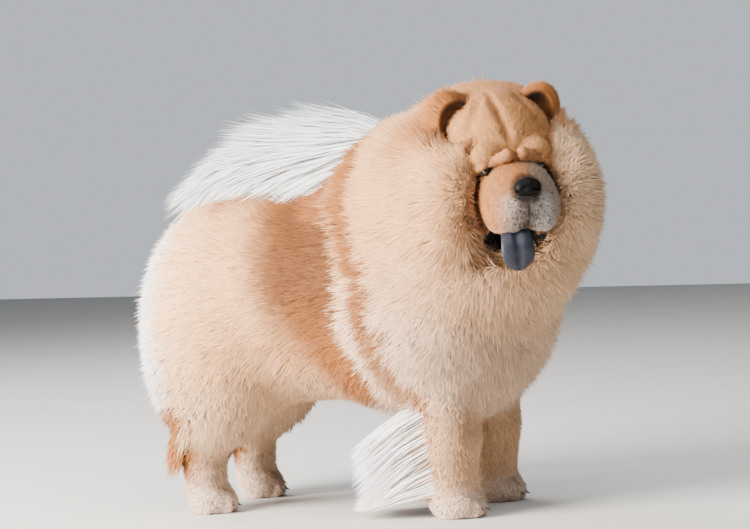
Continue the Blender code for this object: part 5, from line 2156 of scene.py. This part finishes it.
@dataclass
class Sprouts:
    """Small hard things set on the body from one shape: claws, or the dark hairs of the muzzle."""

    name: str
    places: Array
    runs: Array
    length: float
    radius: float
    bend: float
    spread: float
    seed: int
    material: bpy.types.Material
    slot: str

    def guide(self) -> bpy.types.Object:
        """A mesh of bare points, each with the direction that its thing grows in.

        Returns:
            The guide.
        """
        mesh = bpy.data.meshes.new(self.name)
        mesh.vertices.add(len(self.places))
        mesh.vertices.foreach_set("co", self.places.astype(np.float32).ravel())
        layer = mesh.attributes.new("run", "FLOAT_VECTOR", "POINT")
        layer.data.foreach_set("vector", self.runs.astype(np.float32).ravel())
        made = bpy.data.objects.new(self.name, mesh)
        bpy.context.scene.collection.objects.link(made)
        return made

    def tree(self) -> tuple[bpy.types.NodeTree, dict[str, str]]:
        """The node tree that grows a tapered, bent spike on each point.

        Returns:
            The tree, and the identifier of each named input.
        """
        group = bpy.data.node_groups.new(self.name + "_growth", "GeometryNodeTree")
        sockets = {"Geometry": node_input(group, "Geometry", "NodeSocketGeometry")}
        for name in ("Length", "Radius", "Bend", "Spread"):
            sockets[name] = node_input(group, name, "NodeSocketFloat")
        sockets["Seed"] = node_input(group, "Seed", "NodeSocketInt")
        sockets["Material"] = node_input(group, "Material", "NodeSocketMaterial")
        group.interface.new_socket("Geometry", in_out="OUTPUT", socket_type="NodeSocketGeometry")
        nodes, links = group.nodes, group.links
        start, finish = nodes.new("NodeGroupInput"), nodes.new("NodeGroupOutput")
        middle_at, end_at = nodes.new("ShaderNodeCombineXYZ"), nodes.new("ShaderNodeCombineXYZ")
        half = nodes.new("ShaderNodeMath")
        half.operation = "MULTIPLY"
        half.inputs[1].default_value = 0.55
        links.new(start.outputs["Length"], half.inputs[0])
        links.new(half.outputs["Value"], middle_at.inputs["Z"])
        links.new(start.outputs["Length"], end_at.inputs["Z"])
        links.new(start.outputs["Bend"], end_at.inputs["X"])
        line = nodes.new("GeometryNodeCurveQuadraticBezier")
        line.inputs["Resolution"].default_value = 4
        line.inputs["Start"].default_value = (0, 0, 0)
        links.new(middle_at.outputs["Vector"], line.inputs["Middle"])
        links.new(end_at.outputs["Vector"], line.inputs["End"])
        share = nodes.new("GeometryNodeSplineParameter")
        taper = nodes.new("ShaderNodeMapRange")
        taper.inputs["To Min"].default_value = 1.0
        taper.inputs["To Max"].default_value = 0.08
        links.new(share.outputs["Factor"], taper.inputs["Value"])
        size = nodes.new("ShaderNodeMath")
        size.operation = "MULTIPLY"
        links.new(taper.outputs["Result"], size.inputs[0])
        links.new(start.outputs["Radius"], size.inputs[1])
        radius = nodes.new("GeometryNodeSetCurveRadius")
        links.new(line.outputs["Curve"], radius.inputs["Curve"])
        links.new(size.outputs["Value"], radius.inputs["Radius"])
        ring = nodes.new("GeometryNodeCurvePrimitiveCircle")
        ring.inputs["Resolution"].default_value = 6
        ring.inputs["Radius"].default_value = 1.0
        tube = nodes.new("GeometryNodeCurveToMesh")
        tube.inputs["Fill Caps"].default_value = True
        links.new(radius.outputs["Curve"], tube.inputs["Curve"])
        links.new(ring.outputs["Curve"], tube.inputs["Profile Curve"])
        if "Scale" in tube.inputs:
            links.new(size.outputs["Value"], tube.inputs["Scale"])
        run = nodes.new("GeometryNodeInputNamedAttribute")
        run.data_type = "FLOAT_VECTOR"
        run.inputs["Name"].default_value = "run"
        stray = nodes.new("FunctionNodeRandomValue")
        stray.data_type = "FLOAT_VECTOR"
        stray.inputs[0].default_value = (-1, -1, -1)
        stray.inputs[1].default_value = (1, 1, 1)
        links.new(start.outputs["Seed"], stray.inputs["Seed"])
        strayed = nodes.new("ShaderNodeVectorMath")
        strayed.operation = "SCALE"
        links.new(stray.outputs[0], strayed.inputs[0])
        links.new(start.outputs["Spread"], strayed.inputs["Scale"])
        total = nodes.new("ShaderNodeVectorMath")
        total.operation = "ADD"
        links.new(run.outputs["Attribute"], total.inputs[0])
        links.new(strayed.outputs["Vector"], total.inputs[1])
        turn = nodes.new("FunctionNodeAlignRotationToVector")
        turn.axis = "Z"
        links.new(total.outputs["Vector"], turn.inputs["Vector"])
        copies = nodes.new("GeometryNodeInstanceOnPoints")
        links.new(start.outputs["Geometry"], copies.inputs["Points"])
        links.new(tube.outputs["Mesh"], copies.inputs["Instance"])
        links.new(turn.outputs["Rotation"], copies.inputs["Rotation"])
        real = nodes.new("GeometryNodeRealizeInstances")
        links.new(copies.outputs["Instances"], real.inputs["Geometry"])
        dress = nodes.new("GeometryNodeSetMaterial")
        links.new(real.outputs["Geometry"], dress.inputs["Geometry"])
        links.new(start.outputs["Material"], dress.inputs["Material"])
        links.new(dress.outputs["Geometry"], finish.inputs["Geometry"])
        return group, sockets

    def build(self) -> bpy.types.Object:
        """Grow the things and turn them into a plain mesh.

        Returns:
            The piece.
        """
        piece = self.guide()
        group, sockets = self.tree()
        growth = piece.modifiers.new("growth", "NODES")
        growth.node_group = group
        growth[sockets["Length"]] = self.length
        growth[sockets["Radius"]] = self.radius
        growth[sockets["Bend"]] = self.bend
        growth[sockets["Spread"]] = self.spread
        growth[sockets["Seed"]] = self.seed
        growth[sockets["Material"]] = self.material
        apply_all(piece)
        shell = bmesh.new()
        shell.from_mesh(piece.data)
        bmesh.ops.recalc_face_normals(shell, faces=shell.faces)
        shell.to_mesh(piece.data)
        shell.free()
        piece.data.polygons.foreach_set("use_smooth", np.ones(len(piece.data.polygons), bool))
        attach(piece, "root")
        return piece


def claws(dog: Dog, shift: Array) -> Sprouts:
    """The sixteen claws.

    Args:
        dog: The dog.
        shift: From the dog's axes to the frame's.

    Returns:
        What grows them.
    """
    places, runs = [], []
    for sign in (1.0, -1.0):
        for _, foot, size in dog.paws:
            for k in range(4):
                spot = dog.toe(foot, size, k) + at(0.013, 0, -0.001)
                places.append(spot * np.array([sign, 1, 1]) + shift)
                runs.append(unit(at(1.0, 0, -0.35)))
    finish = WetFinish("claw_finish", srgb(60, 46, 38), srgb(120, 98, 82), 0.4, 500.0, 0.2, 0.0004)
    return Sprouts(
        "claws", np.array(places), np.array(runs), 0.0125, 0.0032, 0.0, 0.02, 7, finish.material(), "nose"
    )


def stubble(dog: Dog, shift: Array, count: int = 420) -> Sprouts:
    """The short dark hairs of the muzzle, beside and below the nose.

    Args:
        dog: The dog.
        shift: From the dog's axes to the frame's.
        count: How many hairs there are.

    Returns:
        What grows them.
    """
    draw = np.random.default_rng(91)
    head = dog.head
    local = np.stack(
        [draw.normal(0, 0.017, count), np.full(count, -0.075), draw.uniform(-0.078, -0.026, count)], 1
    )
    local[:, 0] += np.sign(local[:, 0]) * 0.003
    for _ in range(8):
        inside = head.muzzle(local) + head.face_depth * 0.3
        local[:, 1] += np.clip(inside, -0.02, 0.02)
    out = slope(head.muzzle, local)
    runs = unit(out * 0.8 + unit(local - head.nose_at) * 0.7) @ head.turn.T
    finish = WetFinish("stubble_finish", srgb(22, 18, 18), srgb(52, 44, 42), 0.6, 300.0, 0.1, 0.0002)
    places = head.place(local) + shift
    return Sprouts("stubble", places, runs, 0.0042, 0.00042, 0.0008, 0.25, 11, finish.material(), "coat")


@dataclass
class Studio:
    """The floor, the soft lights and the camera at the photo's angle."""

    shift: Array
    azimuth: float = math.radians(-66.0)
    distance: float = 3.75
    height: float = 0.53
    pitch: float = -0.040526
    yaw: float = -0.011527
    roll: float = 0.043633
    lens: float = 115.2
    sensor: float = 36.0

    def build(self) -> None:
        """Set up the studio."""
        self.floor()
        self.camera()
        self.light("key", -127.0, 18.0, 3.2, 2.0, 620.0, (1.0, 0.92, 0.80))
        self.light("top", -56.0, 60.0, 3.6, 2.6, 100.0, (1.0, 0.98, 0.95))
        self.light("rim", 150.0, 46.0, 3.4, 2.0, 110.0, (0.95, 0.97, 1.0))
        world = bpy.data.worlds.new("studio")
        world.use_nodes = True
        nodes, links = world.node_tree.nodes, world.node_tree.links
        fill, seen = nodes["Background"], nodes.new("ShaderNodeBackground")
        fill.inputs["Color"].default_value = (0.76, 0.88, 1.0, 1.0)
        fill.inputs["Strength"].default_value = 0.20
        seen.inputs["Color"].default_value = (0.62, 0.66, 0.70, 1.0)
        path, mixed = nodes.new("ShaderNodeLightPath"), nodes.new("ShaderNodeMixShader")
        links.new(path.outputs["Is Camera Ray"], mixed.inputs["Fac"])
        links.new(fill.outputs["Background"], mixed.inputs[1])
        links.new(seen.outputs["Background"], mixed.inputs[2])
        links.new(mixed.outputs["Shader"], nodes["World Output"].inputs["Surface"])
        bpy.context.scene.world = world

    def floor(self) -> None:
        """The plain pale floor."""
        shell = bmesh.new()
        bmesh.ops.create_grid(shell, x_segments=2, y_segments=2, size=6.0)
        mesh = bpy.data.meshes.new("floor")
        shell.to_mesh(mesh)
        shell.free()
        floor = bpy.data.objects.new("floor", mesh)
        bpy.context.scene.collection.objects.link(floor)
        finish = WetFinish("floor_finish", srgb(214, 212, 208), srgb(222, 220, 217), 0.85, 40.0, 0.05, 0.0005)
        mesh.materials.append(finish.material())

    def camera(self) -> None:
        """The camera, where the photo was taken from."""
        towards = np.array([-math.sin(self.azimuth), math.cos(self.azimuth), 0.0])
        spot = -towards * self.distance + np.array([0, 0, self.height])
        cosine, sine = math.cos(self.yaw), math.sin(self.yaw)
        ahead = np.array(
            [towards[0] * cosine - towards[1] * sine, towards[0] * sine + towards[1] * cosine, 0.0]
        )
        ahead = ahead * math.cos(self.pitch) + np.array([0, 0, math.sin(self.pitch)])
        right = unit(np.cross(ahead, np.array([0, 0, 1.0])))
        above = np.cross(right, ahead)
        turned_right = right * math.cos(self.roll) - above * math.sin(self.roll)
        turned_up = right * math.sin(self.roll) + above * math.cos(self.roll)
        data = bpy.data.cameras.new("camera")
        data.lens = self.lens
        data.sensor_width = self.sensor
        data.sensor_fit = "HORIZONTAL"
        data.clip_end = 60.0
        camera = bpy.data.objects.new("camera", data)
        axes = np.eye(4)
        axes[:3, 0], axes[:3, 1], axes[:3, 2] = turned_right, turned_up, -ahead
        axes[:3, 3] = spot + self.shift
        camera.matrix_world = Matrix(axes.tolist())
        bpy.context.scene.collection.objects.link(camera)
        bpy.context.scene.camera = camera

    def light(
        self, name: str, azimuth: float, height: float, distance: float, size: float, power: float,
        colour: tuple[float, float, float],
    ) -> None:
        """One soft light.

        Args:
            name: Its name.
            azimuth: Where it stands round the dog, in degrees, as views are counted.
            height: How high it stands, in degrees.
            distance: How far away it is.
            size: Its side.
            power: Its power.
            colour: Its colour.
        """
        data = bpy.data.lights.new(name, "AREA")
        data.size = size
        data.energy = power
        data.color = colour
        lamp = bpy.data.objects.new(name, data)
        turn, rise = math.radians(azimuth), math.radians(height)
        away = Vector((math.sin(turn) * math.cos(rise), -math.cos(turn) * math.cos(rise), math.sin(rise)))
        target = Vector((0, 0, 0.3))
        lamp.location = target + away * distance
        lamp.rotation_euler = away.to_track_quat("Z", "Y").to_euler()
        bpy.context.scene.collection.objects.link(lamp)


def main() -> None:
    """Build the dog and its studio around the frame."""
    logging.basicConfig(level=logging.INFO, format="%(message)s")
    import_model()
    dog = Dog()
    low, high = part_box("eye_left")
    shift = (np.array(low) + np.array(high)) / 2 - dog.head.place(dog.head.eye_at)
    LOG.info("shift %s", shift.round(5).tolist())
    markings = Markings(dog)
    Studio(shift).build()
    skin = Skin(dog, markings, shift, FurFinish("skin_fur", sheen=0.10, bump=0.5)).build()
    points, faces = triangles_of(skin.data)
    LOG.info("%s: %d triangles", skin.name, len(faces))
    coat = Coat(dog, markings, shift, FurFinish("tuft_fur"), points - shift, faces)
    total = len(faces)
    for piece in coat.build():
        total += len(piece.data.polygons)
        LOG.info("%s: %d triangles", piece.name, len(piece.data.polygons))
    for maker in (
        Eye(dog, shift, True),
        Eye(dog, shift, False),
        Nose(dog, shift),
        Tongue(dog, shift),
        claws(dog, shift),
        stubble(dog, shift),
    ):
        piece = maker.build()
        count = sum(len(face.vertices) - 2 for face in piece.data.polygons)
        total += count
        LOG.info("%s: %d triangles", piece.name, count)
    LOG.info("the whole model: %d triangles", total)


if __name__ == "__main__":
    main()
